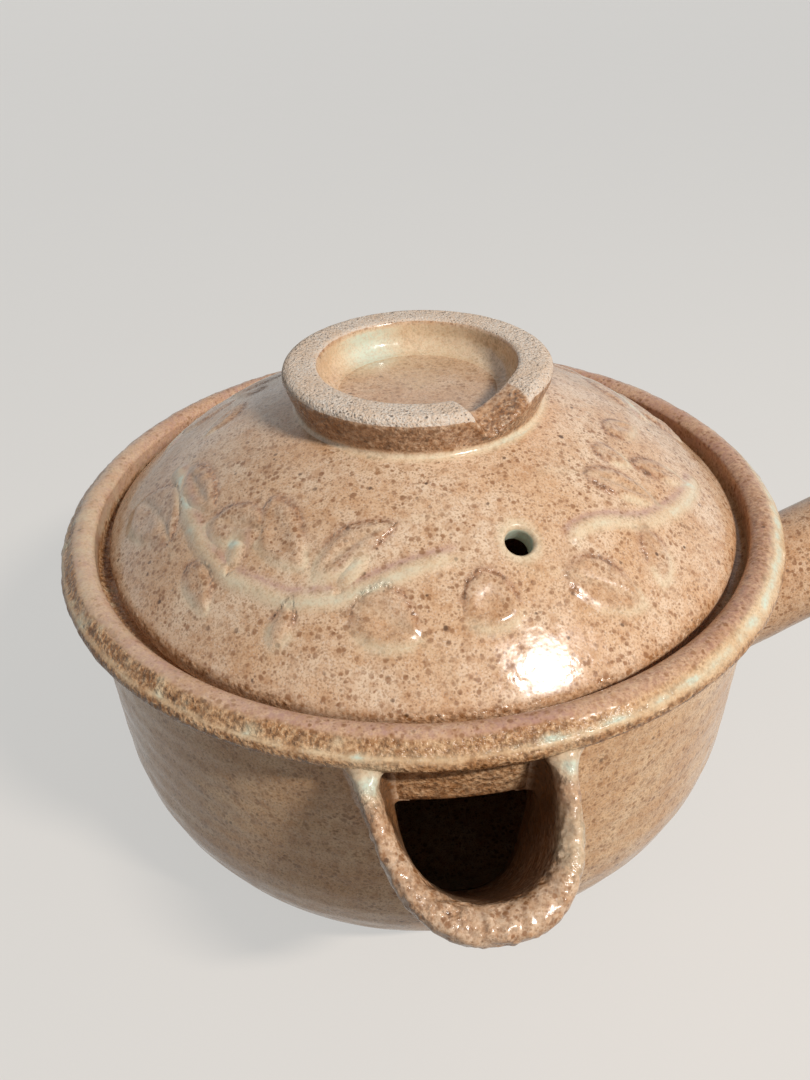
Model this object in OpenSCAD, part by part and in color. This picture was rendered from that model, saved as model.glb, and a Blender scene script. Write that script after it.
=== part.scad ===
// Lidded clay pot for the stove: a deep bowl with a rolled rim, a pouring spout
// under the rim, a hollow side handle and a loose domed lid with a ring knob.
// Millimetres, +Z up. The origin is the centre of the base, the spout points
// to -Y and the handle to +X. The members are thrown or formed one by one and
// luted together: bowl, spout and handle make the pot, and dome, knob, vine
// stems and leaves make the lid, which lifts straight off its ledge.

/* [Bowl] */
// Outer diameter of the wall at the rim
wall_d = 189; // [175:1:195]
// Diameter of the flat base
base_d = 120; // [112:1:128]
// Height at which the lower curve turns into the upright wall
belly_h = 50; // [46:1:54]
// Height from the base to the crest of the rim
pot_h = 107; // [98:1:125]
// Thickness of the wall
wall_t = 6; // [5:0.5:7]
// Thickness of the floor
floor_t = 7; // [5:0.5:9]
// Diameter of the hollow ground into the base
base_hollow_d = 92; // [80:1:104]
// Depth of that hollow
base_hollow_h = 1.5; // [1:0.1:2.5]

/* [Rim and ledge] */
// Radial width of the rolled rim
rim_w = 9.3; // [8.6:0.1:11]
// Overhang of the rim outside the wall
rim_over = 5.5; // [4.6:0.1:6]
// Radius of the upper roll of the rim
rim_roll = 3.6; // [3.2:0.1:3.9]
// Radius of the lower, outer roll of the rim
rim_bead = 3.1; // [2.7:0.1:3.4]
// Drop of the outer roll below the crest
rim_bead_drop = 4.9; // [4.4:0.1:5.4]
// Depth of the lid ledge below the crest of the rim
seat_drop = 9; // [8:0.5:11]
// Width of the lid ledge
ledge_w = 9.5; // [8.5:0.5:11]
// Thickness of the ledge at its free edge
ledge_t = 5; // [4:0.5:7]

/* [Spout] */
// Outer diameter of the mouth of the spout
spout_d = 44.4; // [42:0.2:50]
// Distance that the lip reaches out past the wall
spout_reach = 32; // [27:1:34]
// Tilt of the spout away from the upright
spout_tilt = 27.7; // [24:0.5:31]
// Length of the spout along its own axis
spout_l = 48; // [44:1:50]
// Narrowing of the spout's radius over that length
spout_taper = 11.2; // [10:0.2:12]
// Thickness of the spout's wall
spout_t = 5.2; // [4.4:0.2:6]
// Radius of the rounded lip
lip_r = 3.2; // [2.8:0.1:3.8]
// Drop of the opening's straight top edge below the crest of the rim
window_drop = 21.3; // [20:0.5:25]
// Width of the opening through the wall
window_w = 27; // [18:1:28]
// Height of the opening on the inside of the wall
window_h = 25; // [22:1:28]

/* [Handle] */
// Diameter of the handle where it meets the wall
handle_root_d = 38; // [34:1:42]
// Diameter of the handle at its waist
handle_waist_d = 34.4; // [31:0.2:37]
// Diameter of the handle at its open end
handle_end_d = 36; // [33:1:40]
// Length of the handle outside the wall, along its axis
handle_l = 84; // [70:1:100]
// Rise of the handle above the level
handle_tilt = 27.5; // [20:0.5:32]
// Height of the handle's axis where it meets the wall
handle_z = 52; // [46:1:58]
// Diameter of the hollow in the handle
handle_bore_d = 23; // [18:1:25]

/* [Lid] */
// Radius of the dome of the lid
dome_r = 123.5; // [118:0.5:130]
// Gap between the lid and the rim all round
lid_gap = 3.3; // [2.5:0.1:4]
// Thickness of the lid
lid_t = 6; // [5:0.5:7]
// Height of the rounded edge of the lid
lid_edge_h = 5.2; // [4.6:0.2:6]
// Width of the flat band under the lid that rests on the ledge
lid_band_w = 6; // [5:0.5:7]
// Diameter of the steam hole
steam_d = 6.5; // [5:0.5:8]
// Distance of the steam hole from the middle of the lid
steam_r = 58.5; // [54:0.5:60]
// Direction of the steam hole, seen from above
steam_az = -73; // [-80:1:-66]

/* [Knob ring] */
// Largest diameter of the knob ring
knob_d = 71.6; // [68:0.2:76]
// Diameter of the ring where it meets the dome
knob_base_d = 66.6; // [63:0.2:68]
// Inner diameter of the ring
knob_in_d = 52; // [48:1:54]
// Height of the ring above the dome at its base
knob_h = 11.6; // [10:0.2:14]
// Width of the rounded edge outside the ring's flat face, twice that of the inner one
knob_edge = 3; // [2:0.2:3.6]
// Rise of the dish's floor from its middle to its edge
dish_rise = 1.1; // [0.6:0.1:1.6]
// Radius of the cove between the dish's floor and the ring
cove_r = 5; // [3:0.5:6.5]
// Depth of the thumb notch in the ring
notch_h = 6.7; // [5:0.1:8]
// Radius of the bottom of the thumb notch
notch_r = 3.6; // [2.5:0.1:4.5]
// Width of the thumb notch at the top, on its steep side
notch_steep = 6; // [5:0.2:8]
// Width of the thumb notch at the top, on its gentle side
notch_gentle = 9; // [7:0.2:11]
// Direction of the thumb notch, seen from above
notch_az = -63; // [-70:0.5:-56]

/* [Vine] */
// Distance of the stems from the middle of the lid, about their own circle
vine_r = 61; // [59:0.5:63]
// Height of the stems above the dome
stem_h = 1; // [0.8:0.1:1.4]
// Width of the stems on the dome
stem_w = 3; // [2.6:0.1:3.6]
// Length of a middling leaf
leaf_l = 17; // [14:0.5:18]
// Height of the leaves above the dome
leaf_h = 1.2; // [0.9:0.1:1.5]
// Breadth of a leaf as a share of its length
leaf_share = 0.52; // [0.45:0.01:0.6]
// Direction of the gap between the vine's sprays, seen from above
vine_az = -80; // [-84:1:-76]

/* [Hidden] */
$fn = 96;

glaze = "#cfa27a";
glaze_dark = "#b98a60";
bare_clay = "#d9cdbb";
pale_glaze = "#dcd3ac";

wall_r = wall_d / 2;
belly_max = wall_r - 0.8;
base_r = base_d / 2;
// The lower curve starts at the edge of the base and ends upright at belly_h
belly_r = (pow(belly_max - base_r, 2) + belly_h * belly_h) / (2 * (belly_max - base_r));
belly_x = belly_max - belly_r;

rim_r = wall_r + rim_over;
gallery_r = rim_r - rim_w;
// The upper roll is trimmed upright by this much where it meets the gallery
roll_trim = 0.3;
roll_x = gallery_r + rim_roll - roll_trim;
roll_z = pot_h - rim_roll;
bead_x = rim_r - rim_bead;
bead_z = pot_h - rim_bead_drop;
rim_under = bead_z - rim_bead;
// The wall is upright up to a small slope under the outer roll
wall_top_z = rim_under - 1.5;
seat_z = pot_h - seat_drop;
ledge_r = gallery_r - ledge_w;
ledge_under = seat_z - ledge_t;

lip_plane_r = spout_d / 2;
lip_proud = 0.4;
lip_out = wall_r + spout_reach - lip_plane_r * cos(spout_tilt);
// The plane of the lip meets the underside of the rim at its outer edge
lip_z = rim_under - (lip_out - rim_r) * tan(spout_tilt);
window_z = pot_h - window_drop;

handle_root_x = wall_r - 3;
handle_in = 12;
handle_bands = 12;

lid_r = gallery_r - lid_gap;
edge_r = lid_edge_h / 2;
dome_z = seat_z + lid_edge_h - sqrt(dome_r * dome_r - lid_r * lid_r);
inner_r = dome_r - lid_t;
band_r = lid_r - edge_r - lid_band_w;
// The inner side of the band leans in from there up to the inside of the dome
band_in = band_r - 0.77 * lid_edge_h;

knob_r = knob_d / 2;
knob_base_r = knob_base_d / 2;
knob_in_r = knob_in_d / 2;
knob_foot = dome_height(knob_base_r);
knob_top = knob_foot + knob_h;
// The dish starts inside the cove, where its floor meets the dome
dish_edge_r = knob_in_r - cove_r;
dish_edge_z = dome_height(dish_edge_r);
dish_z = dish_edge_z - dish_rise;
dish_r = (dish_edge_r * dish_edge_r + dish_rise * dish_rise) / (2 * dish_rise);

stem_r = (stem_w * stem_w / 4 + stem_h * stem_h) / (2 * stem_h);
// Each spray of the vine runs along a tilted circle on the dome
spray_count = 3;
spray_cone = asin(vine_r / dome_r);
spray_lean = 4.5;
spray_half = 46;
// Leaves of one spray: angle along it, heading, and distance from the stem and
// length as shares of a middling leaf's length
leaves = [
    [-40, 24, -0.5, 1], [-33, -32, 0.53, 0.94], [-20, 30, -0.5, 1.06], [-11, -38, 0.56, 1],
    [3, 28, -0.5, 0.88], [12, -30, 0.59, 1.12], [25, 34, -0.53, 1], [35, -26, 0.5, 0.88]
];

function dome_height(r) = dome_z + sqrt(dome_r * dome_r - r * r);

// Outer radius of the upright wall at a height
function wall_at(z) = belly_max + (wall_r - belly_max) * (z - belly_h) / (wall_top_z - belly_h);

// Upright wall with the two rolls of its rim, filled to the axis, from a height up
module upper_outline(from_z) {
    polygon([[0, from_z], [wall_at(from_z), from_z], [wall_r, wall_top_z],
        [bead_x - rim_bead / 2, bead_z - rim_bead * 0.8], [bead_x, bead_z],
        [roll_x, roll_z], [0, roll_z]]);
    translate([roll_x, roll_z]) circle(rim_roll);
    translate([bead_x, bead_z]) circle(rim_bead);
}

// Outline of the lower bowl, filled to its axis
module lower_outline() {
    intersection() {
        translate([belly_x, belly_h]) circle(belly_r);
        square([wall_r, belly_h]);
    }
    square([base_r, belly_h]);
}

// Space inside the bowl, over the floor, past the ledge and out of the mouth
module cavity_outline() {
    intersection() {
        translate([belly_x, belly_h]) circle(belly_r - wall_t);
        translate([0, floor_t]) square([wall_r, belly_h - floor_t]);
    }
    translate([0, floor_t]) square([base_r - wall_t, belly_h - floor_t]);
    polygon([[0, belly_h], [belly_max - wall_t, belly_h],
        [wall_r - wall_t, ledge_under - ledge_w], [ledge_r, ledge_under],
        [ledge_r, seat_z], [gallery_r, seat_z], [gallery_r, pot_h + 1], [0, pot_h + 1]]);
}

// Everything that the bowl's wall closes off, for the handle luted onto it
module bowl_body() {
    rotate_extrude() {
        lower_outline();
        upper_outline(belly_h);
    }
}

// Cone along the axis of the spout, its wide end on the plane of the lip
module spout_cone(inset, past) {
    top_r = lip_plane_r - inset;
    slope = spout_taper / spout_l;
    translate([0, -lip_out, lip_z]) rotate([spout_tilt, 0, 0])
        translate([0, 0, -spout_l])
            cylinder(h = spout_l + past, r1 = top_r - spout_taper, r2 = top_r + slope * past);
}

// Opening cut through the wall behind the spout, with a straight top edge
module window() {
    arch_r = window_w / 2;
    arch_z = window_z - window_h + arch_r;
    intersection() {
        spout_cone(spout_t, 1);
        translate([-wall_r, -2 * wall_r, 0]) cube([2 * wall_r, 2 * wall_r, window_z]);
    }
    translate([0, -wall_r + 2 * wall_t, 0]) rotate([90, 0, 0])
        linear_extrude(height = 2 * wall_t + 2) {
            translate([0, arch_z]) circle(arch_r);
            translate([-arch_r, arch_z]) square([window_w, window_h - arch_r]);
        }
}

module pot_bowl() {
    color(glaze) difference() {
        rotate_extrude() {
            difference() {
                union() {
                    lower_outline();
                    upper_outline(belly_h);
                }
                cavity_outline();
            }
        }
        window();
        translate([0, 0, -1]) cylinder(h = 1 + base_hollow_h, d = base_hollow_d);
    }
}

// Open trough: a tapered tube cut off by the wall and the rim, with a rolled lip
module spout() {
    color(glaze_dark) difference() {
        union() {
            difference() {
                spout_cone(0, 0);
                spout_cone(spout_t, 1);
            }
            translate([0, -lip_out, lip_z]) rotate([spout_tilt, 0, 0])
                rotate_extrude() translate([lip_plane_r - lip_r + lip_proud, 0]) circle(lip_r);
        }
        // Upright wall behind the spout, and the rim over it
        rotate_extrude() upper_outline(0);
        cylinder(h = pot_h + 1, r = roll_x);
    }
}

// Radius of the handle along its length, from 0 at the root to 1 at the end
function handle_r(t) =
    let (root_r = handle_root_d / 2, end_r = handle_end_d / 2,
        pull = handle_waist_d - (root_r + end_r) / 2)
    (1 - t) * (1 - t) * root_r + 2 * t * (1 - t) * pull + t * t * end_r;

// Hollow tube, waisted along its length and rounded round its open end
module handle_tube() {
    end_t = (handle_end_d - handle_bore_d) / 2;
    tube_l = handle_in + handle_l - end_t / 2;
    rotate_extrude() {
        polygon(concat(
            [for (i = [0 : handle_bands]) [handle_r(i / handle_bands), i / handle_bands * tube_l]],
            [[handle_bore_d / 2, tube_l], [handle_bore_d / 2, 0]]));
        translate([(handle_end_d - end_t) / 2, tube_l]) circle(end_t / 2);
    }
}

module handle() {
    color(glaze) difference() {
        translate([handle_root_x, 0, handle_z]) rotate([0, 90 - handle_tilt, 0])
            translate([0, 0, -handle_in]) handle_tube();
        bowl_body();
    }
}

// Section of the lid: dome, rounded edge and the flat band that it rests on
module lid_outline() {
    difference() {
        intersection() {
            translate([0, dome_z]) circle(dome_r, $fn = 360);
            translate([0, seat_z + edge_r]) square([lid_r, dome_r]);
        }
        translate([0, dome_z]) circle(inner_r, $fn = 360);
    }
    translate([lid_r - edge_r, seat_z + edge_r]) circle(edge_r);
    polygon([[band_r, seat_z], [lid_r - edge_r, seat_z], [lid_r - edge_r, seat_z + edge_r],
        [lid_r - edge_r, seat_z + 0.9 * lid_edge_h], [band_in, seat_z + lid_edge_h]]);
}

// Filled body of the dome, for what is luted onto it
module dome_body(grow = 0) {
    translate([0, 0, dome_z]) sphere(dome_r + grow, $fn = 180);
}

// Direction square to the dome at a distance and angle from its middle
module on_dome(r, az) {
    rotate([0, 0, az]) translate([0, 0, dome_z]) rotate([0, asin(r / dome_r), 0]) children();
}

module steam_hole() {
    on_dome(steam_r, steam_az) translate([0, 0, inner_r - 2 * lid_t])
        cylinder(h = 5 * lid_t, d = steam_d);
}

// Gently dished floor inside the knob ring
module dish() {
    translate([0, 0, dish_z + dish_r]) sphere(dish_r, $fn = 180);
}

module lid_dome() {
    color(glaze) difference() {
        union() {
            rotate_extrude() lid_outline();
            // The lid is thicker under the knob, where the dish is cut into it
            intersection() {
                translate([0, 0, dish_z - lid_t]) cylinder(h = dome_r, r = knob_base_r);
                dome_body();
            }
        }
        dish();
        steam_hole();
    }
}

// Section of the knob ring: it flares outwards, has a flat, bare top face and
// runs down to the dish in a cove
module knob_outline() {
    cove = [for (a = [0 : 15 : 90])
        [knob_in_r - cove_r * (1 - cos(a)), dish_edge_z + cove_r * (1 - sin(a))]];
    polygon(concat([[knob_r - knob_edge, knob_top], [knob_in_r + knob_edge / 2, knob_top],
        [knob_in_r, knob_top - 0.27 * knob_edge]],
        cove, [[dish_edge_r, knob_foot - lid_t / 2], [knob_base_r, knob_foot - lid_t / 2],
        [knob_base_r, knob_foot], [knob_r, knob_top - 0.54 * knob_edge],
        [knob_r - 0.2 * knob_edge, knob_top - 0.2 * knob_edge]]));
}

// Outline of the thumb notch, steep on one side and gentle on the other
module notch_outline() {
    bottom = notch_r - notch_h;
    polygon(concat([[-notch_steep, 0], [-notch_steep, 1], [notch_gentle, 1], [notch_gentle, 0]],
        [for (a = [-45 : -15 : -165]) [notch_r * cos(a), bottom + notch_r * sin(a)]]));
}

module lid_knob() {
    color(bare_clay) difference() {
        rotate_extrude() knob_outline();
        dome_body();
        rotate([0, 0, notch_az]) translate([0, 0, knob_top])
            rotate([90, 0, 90]) linear_extrude(height = knob_d) notch_outline();
    }
}

// Half-round stem along a circle on the dome, about an axis leaned to one side
module stem(lean, cone, from, sweep) {
    translate([0, 0, dome_z]) rotate([0, lean, 0])
        rotate_extrude(angle = sweep, start = from)
            translate([(dome_r + stem_h - stem_r) * sin(cone), (dome_r + stem_h - stem_r) * cos(cone)])
                circle(stem_r);
}

// Stems of all sprays, before they are cut off by the dome
module stems() {
    for (i = [1 : spray_count])
        rotate([0, 0, vine_az + (i - 0.5) * 360 / spray_count])
            stem(spray_lean, spray_cone, -spray_half, 2 * spray_half);
}

module lid_vine() {
    color(pale_glaze) difference() {
        stems();
        dome_body();
    }
}

// Pointed leaf, square to the dome, its middle line along X
module leaf(length) {
    breadth = length * leaf_share;
    side_r = (length * length + breadth * breadth) / (4 * breadth);
    translate([0, 0, inner_r]) linear_extrude(height = 2 * lid_t) intersection() {
        translate([0, side_r - breadth / 2]) circle(side_r);
        translate([0, breadth / 2 - side_r]) circle(side_r);
    }
}

module lid_leaves() {
    color(glaze_dark) difference() {
        intersection() {
            for (i = [1 : spray_count], spot = leaves)
                rotate([0, 0, vine_az + (i - 0.5) * 360 / spray_count])
                    translate([0, 0, dome_z]) rotate([0, spray_lean, 0])
                        rotate([0, 0, spot[0]])
                            rotate([0, spray_cone + spot[2] * leaf_l / dome_r * 180 / PI, 0])
                                rotate([0, 0, 90 + spot[1]]) leaf(spot[3] * leaf_l);
            dome_body(leaf_h);
        }
        dome_body();
        stems();
        steam_hole();
    }
}

pot_bowl();
spout();
handle();
lid_dome();
lid_knob();
lid_vine();
lid_leaves();
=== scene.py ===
"""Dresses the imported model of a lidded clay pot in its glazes.

The pot has a deep bowl with a rolled rim, an open pouring spout, a hollow side
handle and a loose domed lid with a ring knob and a raised leafy vine. Every
piece is modelled as its own closed mesh around the solid that it stands for.
Sizes are in millimetres and become metres where a mesh is made. The spout
points to -Y, the handle to +X, and the base stands on z = 0.
"""

import logging
import math
import sys
from dataclasses import dataclass, field
from enum import Enum
from typing import Callable, Sequence

import bpy
import numpy as np
from mathutils import Matrix, Quaternion, Vector


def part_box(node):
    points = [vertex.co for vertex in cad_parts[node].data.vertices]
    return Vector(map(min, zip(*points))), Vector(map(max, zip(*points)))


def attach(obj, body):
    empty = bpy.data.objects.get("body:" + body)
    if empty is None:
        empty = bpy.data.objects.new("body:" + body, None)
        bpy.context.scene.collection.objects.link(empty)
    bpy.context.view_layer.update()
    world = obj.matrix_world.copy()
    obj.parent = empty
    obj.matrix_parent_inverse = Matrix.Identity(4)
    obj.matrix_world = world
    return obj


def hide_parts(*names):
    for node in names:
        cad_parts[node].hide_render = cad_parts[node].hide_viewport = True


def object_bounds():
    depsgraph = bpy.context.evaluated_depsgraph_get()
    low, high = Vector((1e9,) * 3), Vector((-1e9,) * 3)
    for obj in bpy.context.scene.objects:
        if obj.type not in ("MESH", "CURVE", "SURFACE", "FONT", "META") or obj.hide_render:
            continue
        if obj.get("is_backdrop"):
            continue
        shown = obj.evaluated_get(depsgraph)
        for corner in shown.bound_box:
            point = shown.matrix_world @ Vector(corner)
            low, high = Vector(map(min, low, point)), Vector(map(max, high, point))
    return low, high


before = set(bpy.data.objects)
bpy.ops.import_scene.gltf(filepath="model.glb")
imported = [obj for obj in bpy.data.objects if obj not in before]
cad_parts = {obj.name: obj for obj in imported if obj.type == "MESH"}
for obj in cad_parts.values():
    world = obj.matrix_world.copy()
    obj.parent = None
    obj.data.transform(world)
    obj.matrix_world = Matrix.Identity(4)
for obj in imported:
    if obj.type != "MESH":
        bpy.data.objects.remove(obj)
CAD_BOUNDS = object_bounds()

MM = 0.001
# Pieces that meet overlap by this much under the surface, so that no two faces lie in one plane
SINK = 0.15
# Depth to which a luted piece reaches into the wall that carries it
ROOT = 2.0

log = logging.getLogger("pot")

Points = np.ndarray
Values = np.ndarray
Colour = tuple[float, float, float]
Corner = tuple[float, float, float]
Faces = list[tuple[int, ...]]
Field = Callable[[Points], Values]
Piece = bpy.types.Object
Material = bpy.types.Material
Socket = bpy.types.NodeSocket
norm = np.linalg.norm


class Body(Enum):
    """Bodies of the model that the pieces ride on."""

    POT = "pot"
    LID = "lid"


class Layer(Enum):
    """Values painted on the points of a mesh for its glaze, painted light and painted shade among them."""

    POOL_AND_PAINTED_LIGHT = "pool"
    THIN_AND_PAINTED_SHADE = "thin"
    BARE = "bare"
    ROSE_AND_PAINTED_SHADE = "rose"
    # Painted shade: darkens the glaze in the spout's channel and round the opening behind it
    PAINTED_SHADE = "deep"


@dataclass(frozen=True)
class Reach:
    """Lowest and highest corner of a node of the frame, in millimetres."""

    low: Vector
    high: Vector

    @classmethod
    def of(cls, node: str) -> "Reach":
        """Reads a node's box from the frame.

        Args:
            node: Name of the node.

        Returns:
            Its corners in millimetres.
        """
        low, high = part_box(node)
        return cls(Vector(low) / MM, Vector(high) / MM)


def ramp(low: float, high: float, values: Values) -> Values:
    """Rises smoothly from 0 at low to 1 at high.

    Args:
        low: Value at which the result is 0.
        high: Value at which the result is 1. It may lie under low.
        values: The values to map.

    Returns:
        The mapped values.
    """
    share = np.clip((values - low) / (high - low), 0.0, 1.0)
    return share * share * (3.0 - 2.0 * share)


def bell(values: Values, centre: float, width: float) -> Values:
    """Returns a bump of height 1 about centre that fades over width."""
    return np.exp(-(((values - centre) / width) ** 2))


def smooth_min(first: Values, second: Values, radius: float | Values) -> Values:
    """Joins two distance fields with a fillet.

    Args:
        first: Distances to one solid.
        second: Distances to the other solid.
        radius: Size of the fillet in millimetres.

    Returns:
        Distances to both solids together.
    """
    share = np.clip(1.0 - np.abs(first - second) / radius, 0.0, 1.0)
    return np.minimum(first, second) - share * share * radius / 4.0


def smooth_max(first: Values, second: Values, radius: float) -> Values:
    """Keeps what two distance fields share, with rounded edges."""
    return -smooth_min(-first, -second, radius)


@dataclass(frozen=True)
class Grain:
    """Smooth random bumps between -1 and 1 that are the same on every run."""

    size: float
    seed: int

    def _corner(self, cells: Points) -> Values:
        """Returns the random value at each lattice corner.

        Args:
            cells: Whole places on the lattice.

        Returns:
            Values between -1 and 1.
        """
        x, y, z = (cells[..., i].astype(np.uint64) for i in range(3))
        mixed = x * np.uint64(374761393) + y * np.uint64(668265263) + z * np.uint64(2147483629)
        mixed = (mixed + np.uint64(self.seed * 144665)) & np.uint64(0xFFFFFFFF)
        mixed = ((mixed ^ (mixed >> np.uint64(13))) * np.uint64(1274126177)) & np.uint64(0xFFFFFFFF)
        mixed = ((mixed ^ (mixed >> np.uint64(15))) * np.uint64(2246822519)) & np.uint64(0xFFFFFFFF)
        mixed = mixed ^ (mixed >> np.uint64(16))
        return mixed.astype(np.float64) / 2.0**31 - 1.0

    def at(self, points: Points) -> Values:
        """Reads the bumps at points.

        Args:
            points: Array of points in millimetres.

        Returns:
            One value for each point.
        """
        spots = points / self.size + 1000.0 + self.seed * 0.37
        cells = np.floor(spots).astype(np.int64)
        share = spots - cells
        share = share * share * (3.0 - 2.0 * share)
        total = np.zeros(points.shape[:-1])
        for corner in np.ndindex(2, 2, 2):
            weight = np.ones(points.shape[:-1])
            for axis, side in enumerate(corner):
                part = share[..., axis]
                weight = weight * (part if side else 1.0 - part)
            total += weight * self._corner(cells + np.array(corner))
        return total


def arc(centre: tuple[float, float], radius: float, start: float, end: float, gap: float) -> Points:
    """Draws an arc in the plane of radius and height.

    Args:
        centre: Centre of the arc.
        radius: Its radius.
        start: Angle at which it starts, in degrees from the outward direction.
        end: Angle at which it ends.
        gap: Distance between its points.

    Returns:
        The points of the arc.
    """
    count = max(2, int(abs(math.radians(end - start)) * radius / gap) + 1)
    turns = np.radians(np.linspace(start, end, count + 1))
    return np.stack([centre[0] + radius * np.cos(turns), centre[1] + radius * np.sin(turns)], axis=1)


def rounded(corners: Sequence[tuple[float, float, float]]) -> Points:
    """Draws straight lines through corners and rounds each corner.

    Args:
        corners: Radius, height and rounding of each corner.

    Returns:
        The points of the rounded line.
    """
    line: list[np.ndarray] = []
    for i, (x, z, rounding) in enumerate(corners):
        here = np.array([x, z])
        if rounding == 0 or i in (0, len(corners) - 1):
            line.append(here)
            continue
        back = np.array(corners[i - 1][:2]) - here
        on = np.array(corners[i + 1][:2]) - here
        back, on = back / norm(back), on / norm(on)
        half = math.acos(np.clip(float(back @ on), -1.0, 1.0)) / 2.0
        cut = rounding / math.tan(half)
        for share in np.linspace(0.0, 1.0, 7):
            one, two = here + back * cut * (1 - share), here + on * cut * share
            line.append(one * (1 - share) + two * share)
    return np.array(line)


def even(line: Points, gap: float) -> Points:
    """Spaces the points of a line evenly.

    Args:
        line: Points of the line.
        gap: Wanted distance between them.

    Returns:
        The new points, with the same two ends.
    """
    steps = norm(np.diff(line, axis=0), axis=1)
    run = np.concatenate([[0.0], np.cumsum(steps)])
    count = max(1, int(round(run[-1] / gap)))
    spots = np.linspace(0.0, run[-1], count + 1)
    return np.stack([np.interp(spots, run, line[:, i]) for i in range(line.shape[1])], axis=1)


def chain(*lines: Points) -> Points:
    """Joins lines end to end and drops doubled points.

    Args:
        *lines: The lines, in order.

    Returns:
        The joined line.
    """
    whole = np.concatenate(lines)
    steps = norm(np.diff(whole, axis=0), axis=1)
    return whole[np.concatenate([[True], steps > 0.02])]


def spin(line: Points, turns: int) -> Points:
    """Turns a line about the upright axis.

    Args:
        line: Radius and height of each point.
        turns: Number of copies round the axis.

    Returns:
        Array of points, one row for each point of the line.
    """
    angles = np.linspace(0.0, 2.0 * math.pi, turns, endpoint=False)
    grid = np.empty((len(line), turns, 3))
    grid[..., 0] = line[:, :1] * np.cos(angles)
    grid[..., 1] = line[:, :1] * np.sin(angles)
    grid[..., 2] = line[:, 1:]
    return grid


def from_axis(points: Points) -> Values:
    """Returns how far points lie from the axis of the pot."""
    return np.hypot(points[..., 0], points[..., 1])


def azimuth_of(points: Points) -> Values:
    """Returns where points lie round the axis, in degrees from the handle."""
    return np.degrees(np.arctan2(points[..., 1], points[..., 0]))


def on_level(plan: Points) -> Points:
    """Gives points of the plan the height 0."""
    return np.column_stack([plan, np.zeros(len(plan))])


def around(points: Points, azimuth: float, width: float) -> Values:
    """Is 1 at an azimuth in degrees and falls off round the axis of the pot."""
    turn = azimuth_of(points)
    return bell((turn - azimuth + 180.0) % 360.0 - 180.0, 0.0, width)


def line_normals(line: Points) -> Points:
    """Returns the outward normals of a line that runs from below to above outside.

    Args:
        line: Radius and height of each point.

    Returns:
        One unit vector for each point.
    """
    slope = np.gradient(line, axis=0)
    slope /= np.maximum(norm(slope, axis=1, keepdims=True), 1e-9)
    return np.stack([slope[:, 1], -slope[:, 0]], axis=1)


def capped_faces(rows: int, turns: int) -> Faces:
    """Faces of a spun line whose two ends lie on the axis.

    Args:
        rows: Number of points of the line, both ends among them.
        turns: Number of copies round the axis.

    Returns:
        The faces. The first and last point of the mesh are the two ends.
    """
    faces: Faces = []
    last = 1 + (rows - 2) * turns
    for i in range(turns):
        j = (i + 1) % turns
        faces.append((0, 1 + j, 1 + i))
        faces.append((last, last - turns + i, last - turns + j))
    for row in range(rows - 3):
        start = 1 + row * turns
        for i in range(turns):
            j = (i + 1) % turns
            faces.append((start + i, start + j, start + turns + j, start + turns + i))
    return faces


def capped_points(grid: Points) -> Points:
    """Points of a spun line whose two ends lie on the axis, one for each end."""
    first, last = grid[0].mean(axis=0)[None], grid[-1].mean(axis=0)[None]
    return np.concatenate([first, grid[1:-1].reshape(-1, 3), last])


def ring_faces(rows: int, turns: int) -> Faces:
    """Faces of a spun line that closes on itself.

    Args:
        rows: Number of points of the line.
        turns: Number of copies round the axis.

    Returns:
        The faces.
    """
    faces: Faces = []
    for row in range(rows):
        here, there = row * turns, ((row + 1) % rows) * turns
        for i in range(turns):
            j = (i + 1) % turns
            faces.append((here + i, here + j, there + j, there + i))
    return faces


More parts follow.
